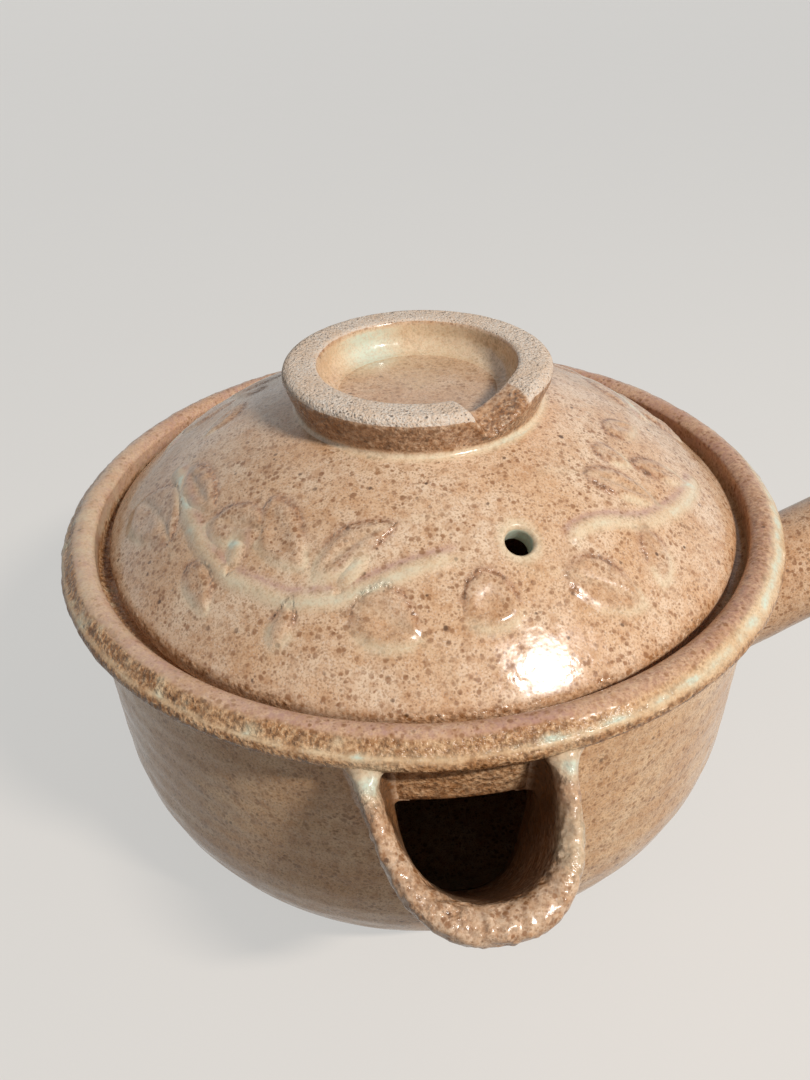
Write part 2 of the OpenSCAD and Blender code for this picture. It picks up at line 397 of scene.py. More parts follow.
@dataclass(frozen=True)
class Skin:
    """Wraps the solid part of a distance field in a closed mesh."""

    low: Corner
    high: Corner
    step: float
    settles: int = 3

    def _grid(self) -> tuple[Points, tuple[int, int, int]]:
        """Returns the points of the lattice and their count along each axis.

        Returns:
            The points and the counts.
        """
        counts = [int((b - a) / self.step) + 1 for a, b in zip(self.low, self.high)]
        axes = [a + np.arange(n) * self.step for a, n in zip(self.low, counts)]
        return np.stack(np.meshgrid(*axes, indexing="ij"), axis=-1), tuple(counts)

    def _crossings(self, values: Values, counts: tuple[int, int, int]) -> tuple[Values, Points]:
        """Averages where the surface crosses the edges of each cell.

        Args:
            values: Distances at the lattice points.
            counts: Number of lattice points along each axis.

        Returns:
            The number of crossings of each cell and the sum of their places.
        """
        cells = tuple(n - 1 for n in counts)
        number = np.zeros(cells)
        places = np.zeros(cells + (3,))
        for axis in range(3):
            one, two = self._ends(values, axis)
            crossed = (one < 0) != (two < 0)
            share = np.where(crossed, one / np.where(crossed, one - two, 1.0), 0.0)
            others = [i for i in range(3) if i != axis]
            for shift in np.ndindex(2, 2):
                cut: list[slice] = [slice(None)] * 3
                for other, side in zip(others, shift):
                    cut[other] = slice(side, side + cells[other])
                hit = crossed[tuple(cut)]
                number += hit
                places[..., axis] += np.where(hit, share[tuple(cut)], 0.0)
                for other, side in zip(others, shift):
                    places[..., other] += hit * side
        return number, places

    @staticmethod
    def _ends(values: Values, axis: int) -> tuple[Values, Values]:
        """Returns the values at both ends of every edge along an axis."""
        count = values.shape[axis]
        return np.take(values, range(count - 1), axis), np.take(values, range(1, count), axis)

    def _quads(self, values: Values, index: Values) -> Values:
        """Returns one quad for each lattice edge that the surface crosses.

        Args:
            values: Distances at the lattice points.
            index: Number of each cell's point.

        Returns:
            Corners of each quad.
        """
        quads = []
        for axis in range(3):
            one, two = self._ends(values, axis)
            one_other, two_other = [i for i in range(3) if i != axis]
            cut: list[slice] = [slice(None)] * 3
            cut[one_other] = slice(1, -1)
            cut[two_other] = slice(1, -1)
            inside, outside = one[tuple(cut)] < 0, two[tuple(cut)] < 0
            where = np.argwhere(inside != outside)
            rising = inside[tuple(where.T)]
            around = []
            for a, b in ((0, 0), (1, 0), (1, 1), (0, 1)):
                cell = where.copy()
                cell[:, one_other] += a
                cell[:, two_other] += b
                around.append(index[tuple(cell.T)])
            quad = np.stack(around, axis=1)
            if axis == 1:
                rising = ~rising
            quad[~rising] = quad[~rising][:, ::-1]
            quads.append(quad)
        return np.concatenate(quads)

    @staticmethod
    def _relax(points: Points, quads: Values) -> Points:
        """Moves each point towards the middle of the points next to it.

        Args:
            points: Points of the mesh.
            quads: Corners of each quad.

        Returns:
            The moved points.
        """
        total, number = np.zeros_like(points), np.zeros(len(points))
        for i in range(4):
            for j in (1, 3):
                np.add.at(total, quads[:, i], points[quads[:, (i + j) % 4]])
                np.add.at(number, quads[:, i], 1.0)
        return points * 0.4 + total / np.maximum(number, 1.0)[:, None] * 0.6

    def wrap(self, shape: Field) -> tuple[Points, Faces]:
        """Builds the mesh of a field's solid part.

        Args:
            shape: Function that gives the distance at points, below 0 inside.

        Returns:
            The points and the faces of the mesh.
        """
        lattice, counts = self._grid()
        values = shape(lattice.reshape(-1, 3)).reshape(counts)
        number, places = self._crossings(values, counts)
        used = number > 0
        index = np.full(used.shape, -1)
        index[used] = np.arange(int(used.sum()))
        corner = np.argwhere(used)
        points = np.array(self.low) + (corner + places[used] / number[used][:, None]) * self.step
        quads = self._quads(values, index)
        nudge = self.step * 0.2
        for _ in range(self.settles):
            points = self._relax(points, quads)
            points = self._settle(points, shape, nudge)
        return points, [tuple(quad) for quad in quads.tolist()]

    def _settle(self, points: Points, shape: Field, nudge: float) -> Points:
        """Moves the points onto the surface along the slope of the field.

        Args:
            points: Points of the mesh.
            shape: Function that gives the distance.
            nudge: Distance over which the slope is read.

        Returns:
            The moved points.
        """
        value = shape(points)
        slope = np.stack([(shape(points + side) - value) / nudge for side in np.eye(3) * nudge], axis=1)
        size = np.maximum((slope**2).sum(axis=1), 0.2)
        move = np.clip(value / size, -self.step, self.step)
        return points - slope * move[:, None]


def make_piece(name: str, points: Points, faces: Faces) -> Piece:
    """Makes a smooth mesh object.

    Args:
        name: Name of the piece.
        points: Points in millimetres.
        faces: Corners of each face.

    Returns:
        The object, in the scene.
    """
    mesh = bpy.data.meshes.new(name)
    mesh.from_pydata((np.asarray(points) * MM).tolist(), [], faces)
    mesh.polygons.foreach_set("use_smooth", [True] * len(mesh.polygons))
    mesh.update()
    piece = bpy.data.objects.new(name, mesh)
    bpy.context.scene.collection.objects.link(piece)
    return piece


def piece_points(piece: Piece) -> Points:
    """Reads the points of a piece in millimetres.

    Args:
        piece: The piece.

    Returns:
        Its points.
    """
    flat = np.empty(len(piece.data.vertices) * 3)
    piece.data.vertices.foreach_get("co", flat)
    return flat.reshape(-1, 3) / MM


def paint(piece: Piece, layer: Layer, values: Values) -> None:
    """Stores one value from 0 to 1 for each point of a piece.

    Args:
        piece: The piece.
        layer: What the values say.
        values: The values.
    """
    stored = piece.data.attributes.new(layer.value, "FLOAT", "POINT")
    stored.data.foreach_set("value", np.clip(values, 0.0, 1.0).astype(np.float32))


def carve(piece: Piece, cutter: Piece) -> None:
    """Cuts one closed mesh out of another and removes the cutter.

    Args:
        piece: The piece that loses material.
        cutter: The shape that is cut out of it.
    """
    cut = piece.modifiers.new("cut", "BOOLEAN")
    cut.operation = "DIFFERENCE"
    cut.solver = "EXACT"
    cut.object = cutter
    bpy.context.view_layer.update()
    shape = piece.evaluated_get(bpy.context.evaluated_depsgraph_get())
    carved = bpy.data.meshes.new_from_object(shape)
    piece.modifiers.clear()
    old = piece.data
    piece.data = carved
    bpy.data.meshes.remove(old)
    bpy.data.objects.remove(cutter)
    carved.polygons.foreach_set("use_smooth", [True] * len(carved.polygons))


def place(piece: Piece, node: str, body: Body, material: Material) -> None:
    """Dresses a piece, puts it on its body and lets it stand for its node.

    Args:
        piece: The piece.
        node: Node of the frame that it stands for.
        body: Body that it rides on.
        material: Its material.
    """
    piece.data.materials.clear()
    piece.data.materials.append(material)
    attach(piece, body.value)
    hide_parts(node)
    size = piece_points(piece)
    log.info("%s: %d points, %s to %s mm", piece.name, len(size), size.min(0).round(1), size.max(0).round(1))


class Graph:
    """Adds nodes to one material and joins them."""

    def __init__(self, name: str) -> None:
        """Starts an empty material.

        Args:
            name: Name of the material.
        """
        self.material = bpy.data.materials.new(name)
        self.material.use_nodes = True
        self.tree = self.material.node_tree
        self.tree.nodes.clear()
        self.place = self._millimetres()

    def _millimetres(self) -> Socket:
        """Returns the place on the object in millimetres.

        Returns:
            The place.
        """
        source = self.node("TexCoord").outputs["Object"]
        scale = self.node("VectorMath", operation="SCALE")
        self.feed(scale.inputs[0], source)
        scale.inputs["Scale"].default_value = 1.0 / MM
        return scale.outputs[0]

    def node(self, kind: str, **settings: object) -> bpy.types.Node:
        """Adds a node and sets its options.

        Args:
            kind: Type of the node, without its prefix.
            **settings: Its options.

        Returns:
            The node.
        """
        added = self.tree.nodes.new("ShaderNode" + kind)
        for key, value in settings.items():
            setattr(added, key, value)
        return added

    def feed(self, socket: Socket, value: object) -> None:
        """Links a socket to another, or sets its number or colour.

        Args:
            socket: The socket that is fed.
            value: A socket, a number or a colour.
        """
        if isinstance(value, Socket):
            self.tree.links.new(value, socket)
        elif isinstance(value, tuple) and len(value) == 3 and socket.type == "RGBA":
            socket.default_value = (*value, 1.0)
        else:
            socket.default_value = value

    def math(self, operation: str, first: object, second: object = 0.0) -> Socket:
        """Adds one sum and returns its result.

        Args:
            operation: Name of the sum.
            first: First number or socket.
            second: Second number or socket.

        Returns:
            The result.
        """
        added = self.node("Math", operation=operation)
        self.feed(added.inputs[0], first)
        self.feed(added.inputs[1], second)
        return added.outputs[0]

    def spread(self, value: object, low: object, high: object, bottom: float = 0.0,
               top: float = 1.0) -> Socket:
        """Maps the stretch from low to high smoothly to the one from bottom to top.

        Args:
            value: What is mapped.
            low: Value that gives the bottom.
            high: Value that gives the top.
            bottom: Lowest result.
            top: Highest result.

        Returns:
            The mapped value.
        """
        added = self.node("MapRange", interpolation_type="SMOOTHSTEP")
        for name, given in zip(("Value", "From Min", "From Max", "To Min", "To Max"),
                               (value, low, high, bottom, top)):
            self.feed(added.inputs[name], given)
        return added.outputs["Result"]

    def mix(self, factor: object, first: object, second: object, kind: str = "MIX") -> Socket:
        """Mixes two colours.

        Args:
            factor: Share of the second colour.
            first: The first colour.
            second: The second colour.
            kind: Way of mixing.

        Returns:
            The mixed colour.
        """
        added = self.node("Mix", data_type="RGBA", blend_type=kind)
        self.feed(added.inputs[0], factor)
        self.feed(added.inputs[6], first)
        self.feed(added.inputs[7], second)
        return added.outputs[2]

    def noise(self, size: float, detail: float = 2.0, shift: float = 0.0) -> Socket:
        """Returns cloudy noise whose clouds are about size millimetres wide.

        Args:
            size: Width of the clouds.
            detail: How many finer layers they have.
            shift: Number that picks another layout.

        Returns:
            The noise, from 0 to 1.
        """
        added = self.node("TexNoise", noise_dimensions="4D")
        self.feed(added.inputs["Vector"], self.place)
        self.feed(added.inputs["W"], shift)
        self.feed(added.inputs["Scale"], 1.0 / size)
        self.feed(added.inputs["Detail"], detail)
        return added.outputs["Fac"]

    def warped(self, size: float, amount: float) -> Socket:
        """Returns the place pushed about by noise, so that spots aren't round.

        Args:
            size: Width of the pushes.
            amount: How far they push, in millimetres.

        Returns:
            The pushed place.
        """
        push = self.node("TexNoise")
        self.feed(push.inputs["Vector"], self.place)
        self.feed(push.inputs["Scale"], 1.0 / size)
        centred = self.node("VectorMath", operation="SUBTRACT")
        self.feed(centred.inputs[0], push.outputs["Color"])
        centred.inputs[1].default_value = (0.5, 0.5, 0.5)
        scaled = self.node("VectorMath", operation="SCALE")
        self.feed(scaled.inputs[0], centred.outputs[0])
        scaled.inputs["Scale"].default_value = amount
        added = self.node("VectorMath", operation="ADD")
        self.feed(added.inputs[0], self.place)
        self.feed(added.inputs[1], scaled.outputs[0])
        return added.outputs[0]

    def spots(self, spacing: float, radius: float, share: float, where: Socket,
              shift: float = 0.0) -> Socket:
        """Returns a mask of soft spots.

        Args:
            spacing: Distance between spots.
            radius: Radius of the largest spots.
            share: Share of the places that hold a spot.
            where: Place that the spots are laid out in.
            shift: Number that picks another layout.

        Returns:
            A mask that is 1 in the middle of the spots.
        """
        moved = self.node("VectorMath", operation="ADD")
        self.feed(moved.inputs[0], where)
        moved.inputs[1].default_value = (shift, shift * 1.7, shift * 2.3)
        cells = self.node("TexVoronoi")
        self.feed(cells.inputs["Vector"], moved.outputs[0])
        self.feed(cells.inputs["Scale"], 1.0 / spacing)
        chance = self.node("SeparateColor")
        self.feed(chance.inputs[0], cells.outputs["Color"])
        size = self.math("MULTIPLY_ADD", chance.outputs[1], radius * 0.6 / spacing)
        size.node.inputs[2].default_value = radius * 0.4 / spacing
        soft = self.spread(cells.outputs["Distance"], size, self.math("MULTIPLY", size, 0.5))
        present = self.math("LESS_THAN", chance.outputs[0], share)
        return self.math("MULTIPLY", soft, present)

    def layer(self, layer: Layer) -> Socket:
        """Returns what is painted on the points of the piece."""
        return self.node("Attribute", attribute_name=layer.value).outputs["Fac"]

    def finish(self, **sockets: object) -> Material:
        """Adds the shader and returns the material.

        Args:
            **sockets: Values of the shader's sockets, with _ for each space.

        Returns:
            The finished material.
        """
        shader = self.node("BsdfPrincipled")
        for name, value in sockets.items():
            self.feed(shader.inputs[name.replace("_", " ")], value)
        out = self.node("OutputMaterial")
        self.feed(out.inputs[0], shader.outputs[0])
        return self.material


def tone(red: int, green: int, blue: int) -> Colour:
    """Turns a screen colour from 0 to 255 into the linear colour of a shader."""
    shares = (value / 255 for value in (red, green, blue))
    return tuple(((c + 0.055) / 1.055) ** 2.4 if c > 10 / 255 else c / 12.92 for c in shares)


@dataclass(frozen=True)
class Speckle:
    """One kind of speck in the glaze."""

    spacing: float
    radius: float
    share: float
    strength: float
    colour: Colour
    shift: float


@dataclass(frozen=True)
class Mottle:
    """Cloudy patches of one colour in the glaze."""

    size: float
    detail: float
    shift: float
    low: float
    high: float
    most: float
    colour: Colour

    def over(self, graph: Graph, ground: object) -> Socket:
        """Lays the patches over a colour."""
        clouds = graph.noise(self.size, self.detail, self.shift)
        return graph.mix(graph.spread(clouds, self.low, self.high, 0.0, self.most), ground, self.colour)


@dataclass(frozen=True)
class Glaze:
    """Speckled ash glaze over iron-bearing clay, thin and brown on edges and pale in hollows."""

    name: str
    light: Colour = tone(226, 196, 165)
    warm: Colour = tone(212, 172, 134)
    pale: Colour = tone(222, 207, 174)
    celadon: Colour = tone(203, 212, 192)
    brown: Colour = tone(160, 108, 64)
    dark: Colour = tone(98, 64, 38)
    mauve: Colour = tone(180, 138, 126)
    clay: Colour = tone(224, 211, 197)
    grit: Colour = tone(82, 64, 52)
    gloss: float = 0.17
    shine: float = 0.42
    freckled: float = 1.0
    veil: float = 0.85
    # How strongly the painted shade darkens the glaze
    painted_shade_strength: float = 0.9
    clay_rough: float = 0.9
    peel: float = 0.12
    sandy: float = 0.65
    crusty: float = 0.75
    mottles: tuple[Mottle, ...] = (
        Mottle(2.6, 3.0, 5.0, 0.42, 0.72, 0.5, tone(188, 134, 86)),
        Mottle(0.5, 3.0, 3.0, 0.46, 0.64, 0.5, tone(146, 94, 54)),
        Mottle(0.45, 2.0, 9.0, 0.52, 0.74, 0.4, tone(224, 211, 197)),
    )
    specks: tuple[Speckle, ...] = (
        Speckle(3.4, 2.4, 0.7, 0.34, tone(166, 114, 68), 3.0),
        Speckle(1.7, 0.98, 0.75, 0.78, tone(134, 86, 46), 11.0),
        Speckle(0.95, 0.5, 0.65, 0.62, tone(124, 82, 46), 19.0),
        Speckle(3.3, 0.84, 0.34, 0.88, tone(80, 50, 26), 29.0),
    )

    def _ground(self, graph: Graph) -> Socket:
        """Colour of the glaze by itself: clouds of two tones with a sandy grain.

        Args:
            graph: Nodes of the material.

        Returns:
            The colour.
        """
        clouds = graph.spread(graph.noise(16.0, 3.0), 0.35, 0.65)
        ground = graph.mix(clouds, self.light, self.warm)
        for mottle in self.mottles:
            ground = mottle.over(graph, ground)
        return ground

    def _speckles(self, graph: Graph, ground: object, keep: object) -> Socket:
        """Lays rusty blotches, specks and small dark dots over the ground.

        Args:
            graph: Nodes of the material.
            ground: Colour below.
            keep: How much of the specks shows.

        Returns:
            The colour.
        """
        soft = graph.warped(1.3, 0.7)
        crowd = graph.spread(graph.noise(8.0, 2.0, 15.0), 0.35, 0.6, 0.5, 1.0)
        keep = graph.math("MULTIPLY", keep, crowd)
        for speck in self.specks:
            mask = graph.spots(speck.spacing, speck.radius, speck.share, soft, speck.shift)
            mask = graph.math("MULTIPLY", mask, speck.strength * self.freckled)
            ground = graph.mix(graph.math("MULTIPLY", mask, keep), ground, speck.colour)
        return ground

    def _bare_clay(self, graph: Graph) -> Socket:
        """Colour of the sandy clay where there is no glaze.

        Args:
            graph: Nodes of the material.

        Returns:
            The colour.
        """
        sand = Mottle(0.5, 3.0, 13.0, 0.35, 0.65, 0.55, self.warm).over(graph, self.clay)
        sand = Mottle(9.0, 2.0, 17.0, 0.4, 0.7, 0.35, self.warm).over(graph, sand)
        specks = graph.math("MAXIMUM", graph.spots(0.8, 0.34, 0.6, graph.place, 31.0),
                            graph.spots(1.7, 0.52, 0.55, graph.place, 37.0))
        return graph.mix(graph.math("MULTIPLY", specks, 0.8), sand, self.grit)

    def material(self) -> Material:
        """Builds the glaze.

        Returns:
            The material.
        """
        graph = Graph(self.name)
        pool, thin, bare, rose = (graph.layer(layer) for layer in
                                  (Layer.POOL_AND_PAINTED_LIGHT, Layer.THIN_AND_PAINTED_SHADE, Layer.BARE, Layer.ROSE_AND_PAINTED_SHADE))
        ragged = graph.spread(graph.noise(1.2, 3.0, 7.0), 0.3, 0.7, 0.45, 1.0)
        fleck = graph.spread(graph.noise(0.8, 3.0, 21.0), 0.35, 0.65, 0.6, 1.0)

        ground = self._ground(graph)
        ground = graph.mix(graph.math("MULTIPLY", rose, ragged), ground, self.mauve)
        ground = graph.mix(graph.math("MULTIPLY", thin, ragged), ground, self.brown)
        crust = graph.noise(1.1, 3.0, 57.0)
        pits = graph.math("MULTIPLY", thin, graph.spread(crust, 0.5, 0.38, 0.0, 0.75))
        grains = graph.math("MULTIPLY", thin, graph.spread(crust, 0.54, 0.64, 0.0, 0.6))
        ground = graph.mix(pits, graph.mix(grains, ground, self.light), self.dark)
        stain = graph.math("MULTIPLY", thin, graph.spread(graph.noise(2.4, 3.0, 61.0), 0.52, 0.66, 0.0, 0.5))
        ground = graph.mix(stain, ground, self.dark)
        # Painted shade: the glaze turns dark where the shade layer is painted
        ground = graph.mix(graph.math("MULTIPLY", graph.layer(Layer.PAINTED_SHADE), self.painted_shade_strength), ground, self.dark)
        keep = graph.math("MULTIPLY_ADD", pool, -self.veil)
        keep.node.inputs[2].default_value = 1.0
        ground = self._speckles(graph, ground, keep)
        milk = graph.mix(graph.spread(pool, 0.5, 1.0), self.pale, self.celadon)
        ground = graph.mix(graph.math("MULTIPLY", pool, fleck), ground, milk)

        raggedly = graph.math("MULTIPLY", graph.noise(0.8, 2.0, 41.0), 0.5)
        edge = graph.spread(graph.math("ADD", bare, raggedly), 0.62, 0.9)
        colour = graph.mix(edge, ground, self._bare_clay(graph))

        satin = graph.spread(graph.noise(5.0, 2.0, 43.0), 0.3, 0.7, self.gloss - 0.04, self.gloss + 0.1)
        rough = graph.node("Mix", data_type="FLOAT")
        graph.feed(rough.inputs[0], edge)
        graph.feed(rough.inputs[2], satin)
        rough.inputs[3].default_value = self.clay_rough
        return graph.finish(Base_Color=colour, Roughness=rough.outputs[0], Specular_IOR_Level=self.shine,
                            Normal=self._relief(graph, thin, edge))

    def _relief(self, graph: Graph, thin: object, edge: object) -> Socket:
        """Fine unevenness: orange peel all over, crust where the glaze is thin, sand on bare clay.

        Args:
            graph: Nodes of the material.
            thin: Where the glaze is thin.
            edge: Where the clay is bare.

        Returns:
            The bumped normal.
        """
        peel = graph.math("MULTIPLY", graph.noise(2.6, 2.0, 51.0), self.peel)
        rough = graph.math("SUBTRACT", graph.noise(0.6, 3.0, 53.0), 0.55)
        sandy = graph.math("MULTIPLY", graph.math("MULTIPLY", rough, edge), self.sandy)
        lumpy = graph.math("ADD", graph.noise(1.1, 3.0, 57.0), graph.noise(1.8, 2.0, 59.0))
        level = graph.math("SUBTRACT", lumpy, 1.0)
        crusty = graph.math("MULTIPLY", level, graph.spread(thin, 0.3, 0.8, 0.0, self.crusty))
        bump = graph.node("Bump")
        bump.inputs["Strength"].default_value = 1.0
        bump.inputs["Distance"].default_value = MM
        graph.feed(bump.inputs["Height"], graph.math("ADD", peel, graph.math("ADD", sandy, crusty)))
        return bump.outputs[0]


@dataclass(frozen=True)
class Backdrop:
    """Plain matt paper that the pot stands on."""

    name: str = "studio_paper"
    colour: Colour = tone(128, 120, 112)
    shade: Colour = tone(112, 105, 98)
    glow: Colour = tone(250, 249, 246)
    lift: float = 0.56

    def material(self) -> Material:
        """Builds the paper. It looks paler than the light that it sends back to the pot.

        Returns:
            The material.
        """
        graph = Graph(self.name)
        clouds = graph.spread(graph.noise(60.0, 2.0), 0.3, 0.7, 0.0, 0.06)
        rays = graph.node("LightPath")
        seen = rays.outputs["Is Camera Ray"]
        for name in ("Is Glossy Ray", "Is Transmission Ray"):
            seen = graph.math("MAXIMUM", seen, rays.outputs[name])
        return graph.finish(Base_Color=graph.mix(clouds, self.colour, self.shade), Roughness=0.85,
                            Specular_IOR_Level=0.2, Emission_Color=self.glow,
                            Emission_Strength=graph.math("MULTIPLY", seen, self.lift))


@dataclass
class Bowl:
    """Thrown bowl with its rolled rim, the ledge for the lid and the opening to the spout."""

    reach: Reach = field(default_factory=lambda: Reach.of("pot_bowl"))
    wall_t: float = 6.0
    floor_t: float = 7.0
    base_r: float = 60.0
    hollow_r: float = 46.0
    hollow_h: float = 1.5
    belly_h: float = 50.0
    belly_in: float = 6.3
    wall_in: float = 5.5
    roll_r: float = 4.1
    roll_in: float = 5.8
    bead_r: float = 2.7
    bead_drop: float = 5.1
    groove_r: float = 3.2
    gallery_in: float = 9.3
    seat_drop: float = 9.0
    ledge_w: float = 9.5
    ledge_t: float = 5.0
    gallery_drop: float = 2.2
    foot_w: float = 5.0
    turns: int = 560
    oval: float = 0.35
    ripple_h: float = 7.5
    ripple: float = 0.1
    window_top: float = 84.8
    broad_az: float = -28.0
    # Where the painted sheen on the rim's inner top lies, in degrees
    painted_sheen_az: float = 192.0

    def __post_init__(self) -> None:
        """Works out the places that the profile turns on."""
        self.rim_r = self.reach.high.x
        self.top = self.reach.high.z
        self.wall_r = self.rim_r - self.wall_in
        self.belly_r = self.rim_r - self.belly_in
        lean = self.belly_r - self.base_r
        self.curve_r = (lean**2 + self.belly_h**2) / (2 * lean)
        self.curve_x = self.belly_r - self.curve_r
        self.roll = (self.rim_r - self.roll_in, self.top - self.roll_r)
        self.bead = (self.rim_r - self.bead_r, self.top - self.bead_drop)
        self.gallery_r = self.rim_r - self.gallery_in
        self.seat_z = self.top - self.seat_drop
        self.ledge_r = self.gallery_r - self.ledge_w
        self.table = self._distance_table()

    def outer_line(self, gap: float) -> Points:
        """Profile of the outside, from the edge of the base to the inner edge of the rim.

        Args:
            gap: Distance between points on the wall. The rim has three times as many.

        Returns:
            The points of the profile.
        """
        fine = gap / 3.0
        hollow = self._hollow()
        bead_end, roll_start = (math.degrees(math.atan2(hollow[1] - c[1], hollow[0] - c[0]))
                                for c in (self.bead, self.roll))
        start = math.degrees(math.atan2(-self.belly_h, self.base_r - self.curve_x))
        belly = arc((self.curve_x, self.belly_h), self.curve_r, start + 2.5, 0.0, gap)
        foot = rounded([(self.base_r - self.foot_w, 0.0, 0.0), (self.base_r - 0.4, 0.0, 1.6),
                        (*belly[0], 0.0)])
        wall_top = (self.wall_r, self.bead[1] - self.bead_r - 1.5)
        under = rounded([(self.belly_r, self.belly_h, 0.0), (*wall_top, 3.0),
                         (self.bead[0] - 1.2, self.bead[1] - self.bead_r * 0.86, 0.0)])
        bead = arc(self.bead, self.bead_r, -110.0, bead_end, fine)
        groove = arc(hollow, self.groove_r, bead_end + 180.0, roll_start + 180.0, fine)
        roll = arc(self.roll, self.roll_r, roll_start, 148.6, fine)
        return chain(even(foot, 1.0), even(belly, gap), even(under, gap), bead, groove, roll)

    def _hollow(self) -> tuple[float, float]:
        """Centre of the arc that rounds the hollow between the two rolls of the rim.

        Returns:
            Radius and height of the centre.
        """
        across = math.dist(self.bead, self.roll)
        one, two = self.bead_r + self.groove_r, self.roll_r + self.groove_r
        along = (one**2 - two**2 + across**2) / (2.0 * across)
        aside = math.sqrt(one**2 - along**2)
        way = ((self.roll[0] - self.bead[0]) / across, (self.roll[1] - self.bead[1]) / across)
        return self.bead[0] + along * way[0] + aside * way[1], self.bead[1] + along * way[1] - aside * way[0]

    def inner_line(self, gap: float) -> Points:
        """Profile of the inside, from the rim down to the middle of the floor.

        Args:
            gap: Distance between points.

        Returns:
            The points of the profile.
        """
        under = self.seat_z - self.ledge_t
        low = math.degrees(math.asin((self.belly_h - self.floor_t) / (self.curve_r - self.wall_t)))
        start = self.top - self.gallery_drop
        step = rounded([(self.gallery_r, start, 0.0), (self.gallery_r, self.seat_z, 1.3),
                        (self.ledge_r, self.seat_z, 1.2), (self.ledge_r, under, 1.6),
                        (self.wall_r - self.wall_t, under - self.ledge_w, 6.0),
                        (self.belly_r - self.wall_t, self.belly_h, 0.0)])
        belly = arc((self.curve_x, self.belly_h), self.curve_r - self.wall_t, 0.0, 4.0 - low, gap)
        floor = rounded([(*belly[-1], 0.0), (self.base_r - 2.0, self.floor_t, 6.0), (0.0, self.floor_t, 0.0)])
        return chain(even(step, 1.5), even(belly, gap), even(floor, 5.0))

    def profile(self) -> Points:
        """Whole profile, from the middle of the base round the rim to the middle of the floor.

        Returns:
            The points of the profile.
        """
        base = rounded([(0.0, self.hollow_h, 0.0), (self.hollow_r, self.hollow_h, 0.6),
                        (self.hollow_r + 1.0, 0.0, 0.5), (self.base_r - self.foot_w, 0.0, 0.0)])
        return chain(even(base, 4.0), self.outer_line(2.2), self.inner_line(3.5))

    def _distance_table(self) -> Values:
        """Distances to the filled outside of the bowl on a lattice of radius and height.

        Returns:
            One distance for each lattice point.
        """
        outer = self.outer_line(1.5)
        end = self.top - self.gallery_drop
        ring = np.concatenate([[[0.0, 0.0]], outer, [[self.gallery_r, end], [0.0, end]]])
        self.table_low = np.array([50.0, 0.0])
        self.table_step = 0.25
        counts = (240, 460)
        axes = [a + np.arange(n) * self.table_step for a, n in zip(self.table_low, counts)]
        spots = np.stack(np.meshgrid(*axes, indexing="ij"), axis=-1).reshape(-1, 2)
        nearest = np.full(len(spots), 1e9)
        within = np.zeros(len(spots), dtype=bool)
        for one, two in zip(ring, np.roll(ring, -1, axis=0)):
            along = two - one
            share = np.clip(((spots - one) @ along) / max(along @ along, 1e-9), 0.0, 1.0)
            gap = norm(spots - one - share[:, None] * along, axis=1)
            nearest = np.minimum(nearest, gap)
            if one[1] != two[1]:
                crosses = (spots[:, 1] < one[1]) != (spots[:, 1] < two[1])
                x = one[0] + (spots[:, 1] - one[1]) / (two[1] - one[1]) * along[0]
                within ^= crosses & (spots[:, 0] < x)
        return np.where(within, -nearest, nearest).reshape(counts)

    def wobble(self, points: Points) -> Values:
        """Unevenness of the thrown wall, as an outward shift.

        Args:
            points: Points near the wall.

        Returns:
            The shift of each point in millimetres.
        """
        turn = np.arctan2(points[:, 1], points[:, 0])
        height = points[:, 2]
        oval = self.oval * np.cos(2.0 * (turn - 0.6)) + 0.25 * Grain(55.0, 3).at(points)
        phase = height / self.ripple_h * 2.0 * math.pi + 0.35 * np.sin(turn)
        rings = np.sin(phase + 2.0 * Grain(30.0, 5).at(points))
        on_wall = ramp(6.0, 20.0, height) * ramp(99.0, 92.0, height)
        return oval + self.ripple * rings * on_wall + 0.1 * Grain(9.0, 7).at(points)

    def outside(self, points: Points) -> Values:
        """Distances to the filled outside of the bowl.

        Args:
            points: Points in millimetres.

        Returns:
            Distances, below 0 inside.
        """
        radius = from_axis(points) - self.wobble(points)
        spots = (np.stack([radius, points[:, 2]], axis=1) - self.table_low) / self.table_step
        limit = np.array(self.table.shape) - 2
        cell = np.clip(np.floor(spots).astype(int), 0, limit)
        share = np.clip(spots - cell, 0.0, 1.0)
        total = np.zeros(len(points))
        for a, b in np.ndindex(2, 2):
            weight = np.abs(1 - a - share[:, 0]) * np.abs(1 - b - share[:, 1])
            total += weight * self.table[cell[:, 0] + a, cell[:, 1] + b]
        return total

    def _broad(self, points: Points) -> Values:
        """How far the glaze has run together on the rim, most at the right of the spout."""
        return around(points, self.broad_az, 42.0)

    def _across_rim(self, points: Points) -> Values:
        """How far points lie outwards and down from the top of the rim."""
        return from_axis(points) - self.roll[0] + self.top - points[..., 2]

    def _rim_bumps(self, points: Points) -> Values:
        """Height of the lumps of glaze on the shoulder of the rim.

        Args:
            points: The points.

        Returns:
            One height for each point.
        """
        radius = from_axis(points)
        shoulder = ramp(self.roll[0] - 0.5, self.roll[0] + 1.5, radius) * ramp(
            self.bead[1] - 2.0, self.bead[1] + 0.5, points[..., 2])
        inside = ramp(self.gallery_r - 0.5, self.gallery_r + 1.0, radius) * ramp(
            self.top - 6.0, self.top - 3.0, points[..., 2])
        broad = self._broad(points)
        filled = 0.4 * broad * bell(self._across_rim(points), 6.2, 2.2)
        lumps = 0.2 * Grain(1.6, 11).at(points) + 0.1 * Grain(3.6, 13).at(points)
        lumps = lumps * (1.0 - 0.5 * broad) + filled
        return lumps * shoulder + 0.05 * Grain(5.0, 17).at(points) * inside

